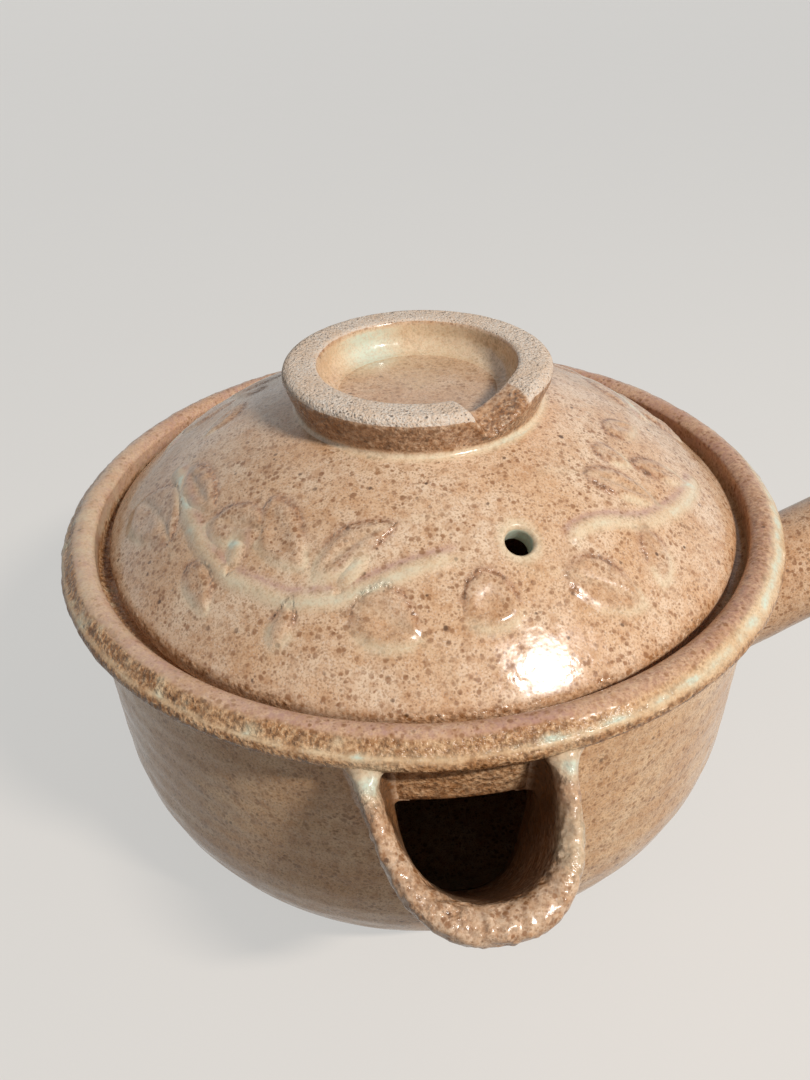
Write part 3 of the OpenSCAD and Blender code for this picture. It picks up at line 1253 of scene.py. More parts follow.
    def build(self) -> Piece:
        """Spins the profile and adds the unevenness of the hand.

        Returns:
            The bowl, not yet cut open behind the spout.
        """
        line = self.profile()
        normals = line_normals(line)
        grid, push = spin(line, self.turns), spin(normals, self.turns)
        grid = grid + push * self._rim_bumps(grid)[..., None]
        flat = grid.reshape(-1, 3)
        radius = np.maximum(from_axis(flat), 1e-6)
        shift = self.wobble(flat) * ramp(20.0, 60.0, radius) * ramp(-1.0, 12.0, flat[:, 2])
        flat[:, :2] *= ((radius + shift) / radius)[:, None]
        grid = flat.reshape(grid.shape)
        return make_piece("clay_bowl", capped_points(grid), capped_faces(len(line), self.turns))

    def dress(self, piece: Piece, spout: "Spout", material: Material) -> None:
        """Paints where the glaze is thick, thin or missing, with painted sheen and painted shade on the rim
        and round the spout, and places the bowl.

        Args:
            piece: The bowl.
            spout: The spout, by which the glaze pools on the wall and painted shade lies round its opening
                and over it.
            material: Its glaze.
        """
        points = piece_points(piece)
        radius, height = from_axis(points), points[:, 2]
        drift = Grain(7.0, 23).at(points)
        fine_drift = Grain(3.2, 25).at(points)
        broad = self._broad(points)
        across = self._across_rim(points) + 0.8 * drift
        on_rim = ramp(self.wall_r - 1.0, self.wall_r + 0.6, radius)
        groove = bell(across, 8.2 - 3.2 * broad, 0.9 + 2.0 * broad) * on_rim
        shoulder = ramp(1.6, 3.4, across) * ramp(8.6, 7.2, across) * (1.0 - 0.8 * broad)
        at_bead = ramp(self.bead[1] - 4.0, self.bead[1] - 2.0, height)
        bead = ramp(8.2, 9.8, across) * at_bead * on_rim
        foot = bell(height, 9.0, 2.6) * ramp(self.base_r, self.base_r + 3.0, radius)
        inner = ramp(self.gallery_r - 1.5, self.gallery_r, radius) * ramp(
            self.seat_z + 1.0, self.seat_z + 4.0, height)
        # Painted sheen: pale glaze laid on the left of the rim's inner top as a highlight
        painted_sheen = around(points, self.painted_sheen_az, 34.0) * inner * ramp(3.6, 1.2, across)
        patches = shoulder * ramp(0.25, 0.7, fine_drift)
        pool = groove * (0.36 + 0.55 * broad + 0.45 * fine_drift)
        pool = pool + foot * (0.55 + 0.3 * drift) + patches * 0.6
        pool = pool + painted_sheen * (0.45 + 0.35 * fine_drift) + spout.pool(points)
        # The strip over the opening gets thin glaze that also stands for the rim's shade, painted in
        thin = shoulder * (0.75 + 0.35 * drift) + bead * (0.8 + 0.25 * drift) + spout.strip(points) * 0.7
        # Painted shade: browner inner top of the rim to the right of the spout
        thin = thin + broad * inner * ramp(3.4, 1.8, across) * 0.45
        rose = ramp(3.4, 1.8, across) * inner
        stand = ramp(0.9, 0.2, height) * ramp(self.hollow_r - 2.0, self.hollow_r, radius)
        paint(piece, Layer.POOL_AND_PAINTED_LIGHT, pool)
        paint(piece, Layer.THIN_AND_PAINTED_SHADE, thin)
        paint(piece, Layer.ROSE_AND_PAINTED_SHADE, rose * (0.75 + 0.3 * drift))
        paint(piece, Layer.BARE, stand)
        # Painted shade round the opening that the spout covers
        paint(piece, Layer.PAINTED_SHADE, spout.depth(points))
        place(piece, "pot_bowl", Body.POT, material)


@dataclass
class Spout:
    """Open trough luted onto the wall under the rim, with a thick rolled lip."""

    bowl: Bowl
    tilt: float = 27.7
    root_r: float = 100.0
    root_z: float = 99.0
    reach_out: float = 32.3
    reach_in: float = 24.0
    half_w: float = 22.4
    arms_in: float = 0.06
    flare: float = 2.6
    flare_in: float = 0.2
    taper: float = 0.23
    channel_taper: float = 0.155
    inner_taper: float = 0.09
    wall_t: float = 5.7
    fillet: float = 4.5
    end_r: float = 93.4
    window_half_w: float = 16.3
    lip_r: float = 5.0
    cut_half: Corner = (20.0, 14.0, 25.5)
    cut_drop: float = 18.5
    cut_edge: float = 2.4
    clear: float = 0.3
    room: tuple[Corner, Corner] = ((-32.0, -130.0, 38.0), (32.0, -86.0, 108.0))
    cut_room: tuple[Corner, Corner] = ((-22.0, -110.0, 39.5), (22.0, -79.0, 94.5))
    step: float = 0.55
    cut_step: float = 0.8

    def lip_frame(self, points: Points) -> tuple[Values, Values, Values]:
        """Places points against the plane of the lip.

        Args:
            points: Points in millimetres.

        Returns:
            Distance sideways, distance out along the plane, and height over the plane.
        """
        lean = math.radians(self.tilt)
        y, z = points[:, 1] + self.root_r, points[:, 2] - self.root_z
        out = -y * math.cos(lean) - z * math.sin(lean)
        over = -y * math.sin(lean) + z * math.cos(lean)
        return points[:, 0], out, over

    def _tube(self, points: Points, reach: float, half_w: float, taper: float, narrowing: float) -> Values:
        """Distances to a tapered trough with straight arms and a round end.

        Its left arm stands further out at the root and runs in faster than its right one.

        Args:
            points: Points in millimetres.
            reach: How far it reaches out in the plane of the lip.
            half_w: Half its width there.
            taper: How much its reach shrinks for each millimetre below the lip.
            narrowing: How much half its width shrinks for each millimetre below the lip.

        Returns:
            Distances, below 0 inside.
        """
        side, out, over = self.lip_frame(points)
        low = np.clip(over, -60.0, 2.0)
        reach_here = reach + taper * low
        ahead = np.clip(out, 0.0, None)
        left = ramp(3.0, -3.0, side)
        flared = left * (self.flare - self.flare_in * ahead)
        width_here = half_w + narrowing * low - self.arms_in * ahead + flared
        share_out = ahead / reach_here
        share_side = np.abs(side) / width_here
        level = share_out**4 + share_side**2.2
        slope = np.hypot(4.0 * share_out**3 / reach_here, 2.2 * share_side**1.2 / width_here)
        return (level - 1.0) / np.maximum(slope, 0.03)

    def channel(self, points: Points) -> Values:
        """Distances to the space inside the trough."""
        half_w = self.half_w - self.wall_t
        return self._tube(points, self.reach_in, half_w, self.channel_taper, self.inner_taper)

    def window(self, points: Points) -> Values:
        """Distances to the opening through the wall, straight along its top edge."""
        hole = smooth_max(self.channel(points), np.abs(points[:, 0]) - self.window_half_w, 3.0)
        return smooth_max(hole, points[:, 2] - self.bowl.window_top, 1.5)

    def cutter(self, points: Points) -> Values:
        """Distances to what is cut from the bowl's wall, with softened edges.

        Args:
            points: The points.

        Returns:
            Distances, below 0 inside.
        """
        wall = self.bowl.outside(points)
        flared = smooth_min(self.window(points), self.clear - wall, self.cut_edge)
        flared = smooth_min(flared, wall + self.bowl.wall_t + self.clear, self.cut_edge)
        centre = np.array([0.0, -self.bowl.wall_r, self.bowl.window_top - self.cut_drop])
        box = np.abs(points - centre) - np.array(self.cut_half)
        return np.maximum(flared, box.max(axis=1))

    def trough(self, points: Points) -> Values:
        """Distances to the trough by itself, with its rounded, lumpy lip.

        Args:
            points: The points.

        Returns:
            Distances, below 0 inside.
        """
        over = self.lip_frame(points)[2]
        outer = self._tube(points, self.reach_out, self.half_w, self.taper, self.taper)
        shell = smooth_max(outer, 0.12 - self.channel(points), 2.4)
        rounded_lip = smooth_max(shell, over - 0.9, self.lip_r)
        on_lip = ramp(-9.0, -2.0, over)
        lumps = 0.26 * Grain(1.5, 31).at(points) + 0.12 * Grain(3.2, 33).at(points)
        uneven = rounded_lip - lumps * on_lip - 0.12 * Grain(9.0, 35).at(points)
        return np.maximum(uneven, self.end_r - from_axis(points))

    def solid(self, points: Points) -> Values:
        """Distances to the spout with the fillet by which it joins the wall and the rim.

        Args:
            points: The points.

        Returns:
            Distances, below 0 inside.
        """
        wall = self.bowl.outside(points)
        trough = self.trough(points)
        under_rim = ramp(self.bowl.bead[1] + 0.3, self.bowl.bead[1] - 4.0, points[:, 2])
        joined = smooth_min(trough, wall + SINK, 0.3 + self.fillet * under_rim)
        shell = np.maximum(joined, -(wall + ROOT))
        near = np.maximum(shell, trough - 0.8 - (self.fillet + 1.7) * under_rim)
        near = np.maximum(near, points[:, 2] - self.bowl.bead[1])
        return smooth_max(near, -self.window(points) - 0.1, 0.8)

    def strip(self, points: Points) -> Values:
        """Where the wall between the rim and the top of the opening shows, with its thin glaze and the shade
        of the rim painted in.

        Args:
            points: The points.

        Returns:
            Values from 0 to 1.
        """
        within = ramp(self.window_half_w + 7.0, self.window_half_w + 2.0, np.abs(points[:, 0]))
        tall = ramp(self.bowl.window_top - 4.0, self.bowl.window_top, points[:, 2]) * ramp(
            self.bowl.bead[1], self.bowl.bead[1] - 3.0, points[:, 2])
        return within * tall * (points[:, 1] < -60.0)

    def depth(self, points: Points) -> Values:
        """Where painted shade darkens the glaze round the opening through the wall."""
        return ramp(2.2, 0.6, np.abs(self.window(points))) * (points[:, 1] < -70.0)

    def pool(self, points: Points) -> Values:
        """Thick, pale glaze where the arms of the lip run under the rim.

        Args:
            points: Points in millimetres.

        Returns:
            How thick the glaze is, from 0 to 1.
        """
        total = np.zeros(len(points))
        for side, width in ((-1.0, 4.2), (1.0, 3.4)):
            spot = np.array([side * self.half_w * 0.93, -self.root_r + 0.2, self.root_z + 0.4])
            gap = (points - spot) / np.array([1.4, 1.0, 0.75])
            total += np.exp(-((norm(gap, axis=1) / width) ** 2))
        return total * (0.95 + 0.25 * Grain(3.0, 37).at(points))

    def build(self) -> Piece:
        """Wraps the spout in a mesh."""
        skin = Skin(*self.room, self.step)
        return make_piece("clay_spout", *skin.wrap(self.solid))

    def build_cutter(self) -> Piece:
        """Wraps what is cut from the bowl behind the spout in a mesh."""
        skin = Skin(*self.cut_room, self.cut_step, settles=2)
        return make_piece("window_cutter", *skin.wrap(self.cutter))

    def dress(self, piece: Piece, material: Material) -> None:
        """Paints the glaze of the spout and places it.

        Args:
            piece: The spout.
            material: Its glaze.
        """
        points = piece_points(piece)
        side, out, over = self.lip_frame(points)
        drift = Grain(5.0, 39).at(points)
        lip = ramp(-6.0, -1.5, over)
        inside = ramp(3.4, 1.0, np.abs(self.channel(points))) * ramp(-1.0, -4.0, over)
        right = bell(out, 14.0, 7.0) * ramp(12.0, 17.0, side) * lip
        paint(piece, Layer.POOL_AND_PAINTED_LIGHT, self.pool(points) + right * (0.45 + 0.35 * drift))
        paint(piece, Layer.THIN_AND_PAINTED_SHADE, lip * (0.5 + 0.3 * drift) + inside * 0.55)
        paint(piece, Layer.ROSE_AND_PAINTED_SHADE, lip * ramp(10.0, 1.0, out) * ramp(-3.0, 1.0, out) * 0.5)
        paint(piece, Layer.BARE, np.zeros(len(points)))
        # Painted shade deep in the channel, towards the opening
        paint(piece, Layer.PAINTED_SHADE, inside * ramp(17.0, 5.0, out))
        place(piece, "spout", Body.POT, material)


@dataclass
class Handle:
    """Hollow side handle, waisted along its length and open at its end."""

    bowl: Bowl
    reach: Reach = field(default_factory=lambda: Reach.of("handle"))
    tilt: float = 27.5
    root_in: float = 3.0
    root_z: float = 52.0
    inside_l: float = 12.0
    length: float = 84.0
    root_r: float = 19.0
    pull_r: float = 15.9
    end_r: float = 18.0
    bore_r: float = 11.5
    bore_from: float = 8.0
    bore_round: float = 8.0
    fillet: float = 6.0
    step: float = 0.85

    def along(self, points: Points) -> tuple[Values, Values]:
        """Places points against the handle's axis.

        Args:
            points: Points in millimetres.

        Returns:
            Distance along the axis from the wall and distance from the axis.
        """
        lean = math.radians(self.tilt)
        root = np.array([self.bowl.wall_r - self.root_in, 0.0, self.root_z])
        axis = np.array([math.cos(lean), 0.0, math.sin(lean)])
        run = (points - root) @ axis
        away = norm(points - root - run[:, None] * axis, axis=1)
        return run, away

    def bore(self, points: Points) -> Values:
        """Distances to the hollow of the handle, which ends in a round before the wall."""
        run, away = self.along(points)
        return smooth_max(away - self.bore_r, self.bore_from - run, self.bore_round)

    def tube(self, points: Points) -> Values:
        """Distances to the hollow handle by itself.

        Args:
            points: The points.

        Returns:
            Distances, below 0 inside.
        """
        run, away = self.along(points)
        share = np.clip((run + self.inside_l) / (self.length + self.inside_l), 0.0, 1.0)
        rest = 1 - share
        radius = rest**2 * self.root_r + 2 * share * rest * self.pull_r + share**2 * self.end_r
        radius = radius + 0.22 * Grain(14.0, 41).at(points) + 0.07 * Grain(5.0, 43).at(points)
        shell = smooth_max(away - radius, -self.bore(points), 3.0)
        return smooth_max(shell, run - self.length + 0.2, 5.5)

    def solid(self, points: Points) -> Values:
        """Distances to the handle with the fillet by which it joins the wall.

        Args:
            points: The points.

        Returns:
            Distances, below 0 inside.
        """
        wall = self.bowl.outside(points)
        tube = self.tube(points)
        joined = smooth_min(tube, wall + SINK, self.fillet)
        shell = np.maximum(joined, -(wall + ROOT))
        away = self.along(points)[1]
        near = np.maximum(shell, away - self.root_r - self.fillet - 2.0)
        return np.maximum(near, -self.bore(points))

    def build(self) -> Piece:
        """Wraps the handle in a mesh."""
        skin = Skin((80.0, -30.0, 18.0), (self.reach.high.x + 3.0, 30.0, self.reach.high.z + 3.0), self.step)
        return make_piece("clay_handle", *skin.wrap(self.solid))

    def dress(self, piece: Piece, material: Material) -> None:
        """Paints the glaze of the handle and places it.

        Args:
            piece: The handle.
            material: Its glaze.
        """
        points = piece_points(piece)
        run, away = self.along(points)
        drift = Grain(6.0, 45).at(points)
        seam = ramp(self.root_r + 0.5, self.root_r + 4.0, away) * ramp(16.0, 6.0, run)
        end = ramp(self.length - 5.0, self.length - 1.0, run)
        in_bore = ramp(self.bore_r + 0.8, self.bore_r - 0.2, away)
        deep = in_bore * ramp(self.length - 8.0, 30.0, run)
        paint(piece, Layer.POOL_AND_PAINTED_LIGHT, seam * (0.35 + 0.35 * drift) * bell(away, self.root_r + 2.5, 2.0))
        paint(piece, Layer.THIN_AND_PAINTED_SHADE, end * (0.55 + 0.3 * drift))
        paint(piece, Layer.ROSE_AND_PAINTED_SHADE, np.zeros(len(points)))
        paint(piece, Layer.BARE, deep)
        place(piece, "handle", Body.POT, material)


@dataclass
class Dome:
    """Domed lid with a rounded edge, a flat seat, a steam hole and a shallow dish in its middle."""

    reach: Reach = field(default_factory=lambda: Reach.of("lid_dome"))
    dome_r: float = 123.5
    thick: float = 6.0
    edge_h: float = 5.2
    band_w: float = 6.0
    dish_r: float = 21.0
    dish_rise: float = 1.1
    under_z: float = 130.55
    steam_r: float = 3.25
    steam_out: float = 58.5
    steam_az: float = -73.0
    steam_flare: float = 1.7
    steam_bend: float = 58.0
    steam_turns: int = 64
    band_curve: float = 3.3
    knob_r: float = 32.7
    collar_az: float = -50.0
    # Where pale glaze pools in the knob's dish, with a painted sheen on its lit far wall, in degrees
    dish_pool_and_sheen_az: float = 118.0
    turns: int = 460

    def __post_init__(self) -> None:
        """Works out the places that the profile turns on."""
        self.edge_r = self.reach.high.x
        self.seat_z = self.reach.low.z
        self.centre_z = self.seat_z + self.edge_h - math.sqrt(self.dome_r**2 - self.edge_r**2)
        turn = math.radians(self.steam_az)
        self.steam = np.array([self.steam_out * math.cos(turn), self.steam_out * math.sin(turn)])

    def height(self, radius: float, inset: float = 0.0) -> float:
        """Height of the dome at a distance from its middle, or of its inside."""
        return self.centre_z + math.sqrt((self.dome_r - inset) ** 2 - radius**2)

    def unevenness(self, directions: Points) -> Values:
        """Slight waves of the thrown dome."""
        return 0.22 * Grain(34.0, 61).at(directions * self.dome_r) + 0.06 * Grain(9.0, 63).at(
            directions * self.dome_r)

    def lift(self, plan: Points, height: Values) -> Points:
        """Lays points of the plan on the dome.

        Args:
            plan: Points seen from above.
            height: Distance of each point over the dome.

        Returns:
            The points in space.
        """
        up = np.sqrt(np.maximum(self.dome_r**2 - (plan**2).sum(axis=1), 1.0))
        directions = np.column_stack([plan, up]) / self.dome_r
        shift = self.unevenness(directions) * self._fade(norm(plan, axis=1))
        points = directions * (self.dome_r + height + shift)[:, None]
        points[:, 2] += self.centre_z
        return points

    def _fade(self, radius: Values) -> Values:
        """Where the waves of the dome show: not under the knob, nor at the edge."""
        return ramp(self.knob_r - 2.0, self.knob_r + 8.0, radius) * ramp(
            self.edge_r - 1.0, self.edge_r - 8.0, radius)

    def profile(self) -> Points:
        """Profile of the lid, from the middle of its inside round the edge to the middle of the dish.

        Returns:
            The points of the profile.
        """
        inner = self.dome_r - self.thick
        band = self.edge_r - self.edge_h / 2.0 - self.band_w
        lowest = math.degrees(math.acos((band - self.band_curve) / inner))
        flat = math.degrees(math.asin((self.under_z - self.centre_z) / inner))
        centre = (0.0, self.centre_z)
        inside = arc(centre, inner, flat - 2.0, lowest, 3.0)
        patch = rounded([(0.0, self.under_z, 0.0), (inner * math.cos(math.radians(flat)), self.under_z, 4.0),
                         (*inside[0], 0.0)])
        edge_top = math.degrees(math.acos((self.edge_r - 0.9) / self.dome_r))
        outside = arc(centre, self.dome_r, edge_top, math.degrees(math.acos(self.dish_r / self.dome_r)), 1.0)
        seat = rounded([(*inside[-1], 0.0), (band, self.seat_z, 1.0), (self.edge_r, self.seat_z, 2.4),
                        (self.edge_r, self.seat_z + self.edge_h - 0.2, 0.9), (*outside[0], 0.0)])
        dish_ball = (self.dish_r**2 + self.dish_rise**2) / (2 * self.dish_rise)
        low = self.height(self.dish_r) - self.dish_rise
        span = math.degrees(math.asin(self.dish_r / dish_ball))
        dish = arc((0.0, low + dish_ball), dish_ball, span - 90.0, -90.0, 1.2)
        dish[-1, 0] = 0.0
        return chain(even(patch, 4.0), inside, even(seat, 0.8), outside, dish)

    def _steam_cutter(self) -> Piece:
        """Makes the spindle that cuts the steam hole, wider towards both faces of the lid.

        Returns:
            The cutter.
        """
        half, flare = self.thick / 2.0, self.steam_flare
        steps = np.linspace(0.0, 1.0, 9)
        bend = np.radians(steps * self.steam_bend)
        rise = half - flare * math.sin(math.radians(self.steam_bend)) + flare * np.sin(bend)
        wide = self.steam_r + flare * (1.0 - np.cos(bend))
        side = np.stack([wide, rise], axis=1)
        top = np.array([[wide[-1] + 1.6, half + 1.0], [wide[-1] + 1.6, half + 3.0], [0.0, half + 3.0]])
        upper = np.concatenate([[[self.steam_r, 0.0]], side, top])
        line = np.concatenate([upper[:0:-1] * [1, -1], upper])
        points = capped_points(spin(line, self.steam_turns))
        tilt = Matrix.Rotation(math.asin(self.steam_out / self.dome_r), 3, "Y")
        turn = Matrix.Rotation(math.radians(self.steam_az), 3, "Z") @ tilt
        points[:, 2] += self.dome_r - half
        points = points @ np.array(turn).T
        points[:, 2] += self.centre_z
        return make_piece("steam_cutter", points, capped_faces(len(line), self.steam_turns))

    def build(self) -> Piece:
        """Spins the lid and cuts its steam hole.

        Returns:
            The lid.
        """
        line = self.profile()
        grid = spin(line, self.turns)
        flat = grid.reshape(-1, 3)
        arm = flat - np.array([0.0, 0.0, self.centre_z])
        size = norm(arm, axis=1)
        fade = self._fade(from_axis(flat)) * ramp(self.dome_r - 5.0, self.dome_r - 1.0, size)
        way = arm / size[:, None]
        flat = flat + way * (self.unevenness(way) * fade)[:, None]
        points = capped_points(flat.reshape(grid.shape))
        piece = make_piece("clay_lid", points, capped_faces(len(line), self.turns))
        carve(piece, self._steam_cutter())
        return piece

    def over(self, points: Points) -> Values:
        """Height of points over the dome's outer face."""
        return norm(points - np.array([0.0, 0.0, self.centre_z]), axis=1) - self.dome_r

    def steam_pool(self, points: Points) -> Values:
        """Pale glaze that has run into the steam hole.

        Args:
            points: The points.

        Returns:
            Values from 0 to 1.
        """
        gap = norm(points[:, :2] - self.steam, axis=1)
        deep = ramp(0.0, -1.0, self.over(points)) * ramp(7.0, 5.5, gap)
        return np.maximum(deep, 0.55 * ramp(6.5, 3.8, gap))

    def dress(self, piece: Piece, relief: "Relief", material: Material) -> None:
        """Paints the glaze of the lid and places it.

        Args:
            piece: The lid.
            relief: The vine, at whose foot the glaze pools and which lays painted lit flanks and painted
                shade on the lid.
            material: Its glaze.
        """
        points = piece_points(piece)
        plan = points[:, :2]
        radius = norm(plan, axis=1)
        top = ramp(-1.5, -0.3, self.over(points))
        drift = Grain(8.0, 65).at(points)
        turn = azimuth_of(plan)
        thick = 0.35 + 0.5 * bell(turn, self.collar_az, 45.0) + 0.3 * drift
        collar = bell(radius, self.knob_r + 1.1, 0.9) * thick
        in_dish = ramp(self.dish_r + 1.0, self.dish_r - 0.5, radius)
        near_rim = ramp(self.dish_r - 10.0, self.dish_r, radius)
        # Pale pooled glaze in the dish, partly a painted sheen on its lit far side
        dish = near_rim * bell(turn, self.dish_pool_and_sheen_az, 30.0) * in_dish
        dish = np.maximum(dish * 0.85, in_dish * (0.08 + 0.2 * bell(turn, self.dish_pool_and_sheen_az - 30.0, 60.0)))
        edge = ramp(self.edge_r - 1.6, self.edge_r - 0.3, radius) * ramp(
            self.seat_z + 0.5, self.seat_z + 2.0, points[:, 2])
        # The vine's glaze brings painted lit flanks and painted shade onto the dome
        pool, thin, rose = relief.glaze(plan)
        paint(piece, Layer.POOL_AND_PAINTED_LIGHT, (pool + collar) * top + dish + self.steam_pool(points))
        paint(piece, Layer.THIN_AND_PAINTED_SHADE, thin * top + edge * (0.5 + 0.3 * drift) + in_dish * (0.22 + 0.2 * drift))
        seat = ramp(self.seat_z + 1.2, self.seat_z + 0.4, points[:, 2])
        paint(piece, Layer.ROSE_AND_PAINTED_SHADE, rose * top + in_dish * 0.15)
        paint(piece, Layer.BARE, seat)
        place(piece, "lid_dome", Body.LID, material)


@dataclass
class Knob:
    """Flared ring knob with a flat, bare top face and a thumb notch."""

    dome: Dome
    reach: Reach = field(default_factory=lambda: Reach.of("lid_knob"))
    inner_r: float = 26.0
    cove_r: float = 5.0
    slip_w: float = 2.2
    face_in: float = 3.0
    notch_az: float = -65.4
    notch_h: float = 6.6
    notch_in: float = 0.62
    notch_steep: float = 5.6
    notch_gentle: float = 13.5
    turns: int = 420

    def profile(self) -> Points:
        """Closed profile of the ring, from its foot outside over the top to the dish.

        Returns:
            The points of the profile.
        """
        dome, top, out = self.dome, self.reach.high.z, self.reach.high.x
        foot = dome.height(dome.knob_r)
        slip_r = dome.knob_r + self.slip_w
        slip = (slip_r, dome.height(slip_r) - SINK)
        side = rounded([(*slip, 0.0), (dome.knob_r - 0.1, foot + 0.1, 1.5), (out, top - 2.4, 2.6),
                        (out - 0.6, top - 0.8, 1.6), (out - 2.2, top, 2.6),
                        (self.inner_r + self.face_in, top, 0.0)])
        lean = math.degrees(math.atan2(dome.dish_rise * 2.0, dome.dish_r))
        cove = arc((self.inner_r - self.cove_r, dome.height(dome.dish_r) + self.cove_r), self.cove_r, 0.0,
                   -90.0 + lean, 0.6)
        inner = rounded([(self.inner_r + self.face_in, top, 0.0), (self.inner_r + 0.2, top - 0.1, 1.7),
                         (*cove[0], 0.0)])
        start = cove[-1]
        deep = dome.height(dome.dish_r) - 3.0
        tail = rounded([(*start, 0.0), (start[0] - 2.0, start[1] - 0.5, 0.0), (start[0] - 1.5, deep, 0.0),
                        (dome.knob_r - 1.0, deep - 4.0, 0.0), (slip_r - 0.4, slip[1] - 2.0, 0.0),
                        (*slip, 0.0)])
        return chain(even(side, 0.6), even(inner, 0.6), cove, even(tail, 2.0)[:-1])

    def notch(self, points: Points) -> Values:
        """Depth of the thumb notch as a share of its full depth, at each point.

        Args:
            points: The points.

        Returns:
            Shares from 0 to 1.
        """
        turn = math.radians(self.notch_az)
        across = -points[:, 0] * math.sin(turn) + points[:, 1] * math.cos(turn)
        ahead = points[:, 0] * math.cos(turn) + points[:, 1] * math.sin(turn)
        run = np.hypot(across, 0.7) - 0.7
        steep = 1.0 - ramp(0.0, self.notch_steep, run)
        gentle = np.clip(1.0 - run / self.notch_gentle, 0.0, 1.0) ** 1.15
        return np.where(across < 0, steep, gentle) * ramp(0.0, 10.0, ahead)

    def pressed(self, points: Points) -> Values:
        """How far the top of the ring is pressed down, further at its outer edge than at the dish.

        Args:
            points: The points.

        Returns:
            Depths in millimetres.
        """
        radius = from_axis(points)
        outwards = ramp(self.inner_r, self.reach.high.x - 0.6, radius)
        slant = self.notch_in + (1.0 - self.notch_in) * outwards
        return self.notch(points) * self.notch_h * slant

    def build(self) -> Piece:
        """Spins the ring and presses the notch into it.

        Returns:
            The knob.
        """
        line = self.profile()
        grid = spin(line, self.turns)
        flat = grid.reshape(-1, 3)
        top, foot = self.reach.high.z, self.dome.height(self.dome.knob_r) + 1.0
        share = np.clip((flat[:, 2] - foot) / (top - foot), 0.0, 1.0)
        radius = from_axis(flat)
        lumps = 0.22 * Grain(7.0, 71).at(flat) + 0.1 * Grain(2.4, 73).at(flat)
        shift = lumps * ramp(0.1, 0.4, share) * ramp(1.0, 0.55, share)
        flat[:, :2] *= ((radius + shift) / radius)[:, None]
        flat[:, 2] -= self.pressed(flat) * share
        sunk = 0.1 + 0.05 * Grain(1.5, 75).at(flat) + 0.05 * Grain(6.0, 77).at(flat)
        flat[:, 2] -= ramp(0.5, 0.8, share) * sunk
        return make_piece("clay_knob", flat, ring_faces(len(line), self.turns))

    def dress(self, piece: Piece, material: Material) -> None:
        """Paints the glaze and the bare face of the knob and places it.

        Args:
            piece: The knob.
            material: Its glaze.
        """
        points = piece_points(piece)
        radius = from_axis(points)
        depth = self.notch(points)
        drift = Grain(5.0, 79).at(points)
        over = self.dome.over(points)
        top = self.reach.high.z
        level = points[:, 2] + self.pressed(points)
        bare = ramp(top - 2.6, top - 1.4, level) * ramp(0.26, 0.05, depth + 0.06 * drift)
        bare *= ramp(self.inner_r + 0.2, self.inner_r + 0.9, radius)
        outside = ramp(self.inner_r + self.face_in, self.inner_r + 5.0, radius)
        turn = azimuth_of(points)
        slip = outside * ramp(1.3, 0.4, over) * (0.4 + 0.5 * bell(turn, self.dome.collar_az, 45.0))
        brown = 0.8 * outside * ramp(0.8, 2.2, over) + ramp(0.08, 0.3, depth) * 0.5
        brown = np.maximum(brown, 0.35 * ramp(top - 2.5, top - 0.5, points[:, 2]) * (1.0 - outside))
        well = (1.0 - outside) * ramp(top - 0.6, top - 2.2, level) * ramp(0.2, 0.0, depth)
        # Pale pooled glaze in the cove of the ring, partly a painted sheen where it faces the light
        cove = well * np.maximum(0.95 * bell(turn, self.dome.dish_pool_and_sheen_az, 36.0),
                                 0.16 + 0.4 * bell(turn, self.dome.dish_pool_and_sheen_az - 45.0, 55.0))
        paint(piece, Layer.POOL_AND_PAINTED_LIGHT, slip * (0.85 + 0.3 * drift) + cove)
        paint(piece, Layer.THIN_AND_PAINTED_SHADE, brown * (0.8 + 0.25 * drift))
        paint(piece, Layer.ROSE_AND_PAINTED_SHADE, np.zeros(len(points)))
        paint(piece, Layer.BARE, bare)
        place(piece, "lid_knob", Body.LID, material)


@dataclass(frozen=True)
class Leaf:
    """A pointed leaf pad, seen from above."""

    foot: tuple[float, float]
    tip: tuple[float, float]
    width: float
    bend: float = 0.0
    rib: float = 0.0

    def distance(self, plan: Points) -> tuple[Values, Values]:
        """Measures the leaf's outline.

        Args:
            plan: Points seen from above.

        Returns:
            Distance to the outline, below 0 inside, and distance from the midrib.
        """
        foot, tip = np.array(self.foot), np.array(self.tip)
        length = float(norm(tip - foot))
        along = (tip - foot) / length
        local = plan - (foot + tip) / 2.0
        run = local @ along
        across = local @ np.array([-along[1], along[0]])
        share = run / (length / 2.0)
        across = across - self.bend * (1.0 - share**2)
        across = across * (1.0 + 0.22 * np.clip(share, -1.0, 1.0))
        half = self.width / 2.0
        ball = (length**2 / 4.0 + half**2) / (2.0 * half)
        side = np.hypot(run, np.abs(across) + ball - half) - ball
        ends = np.hypot(np.abs(run) - length / 2.0, across)
        past = np.abs(run) > length / 2.0
        return np.where(past, np.maximum(side, ends), side), np.abs(across)


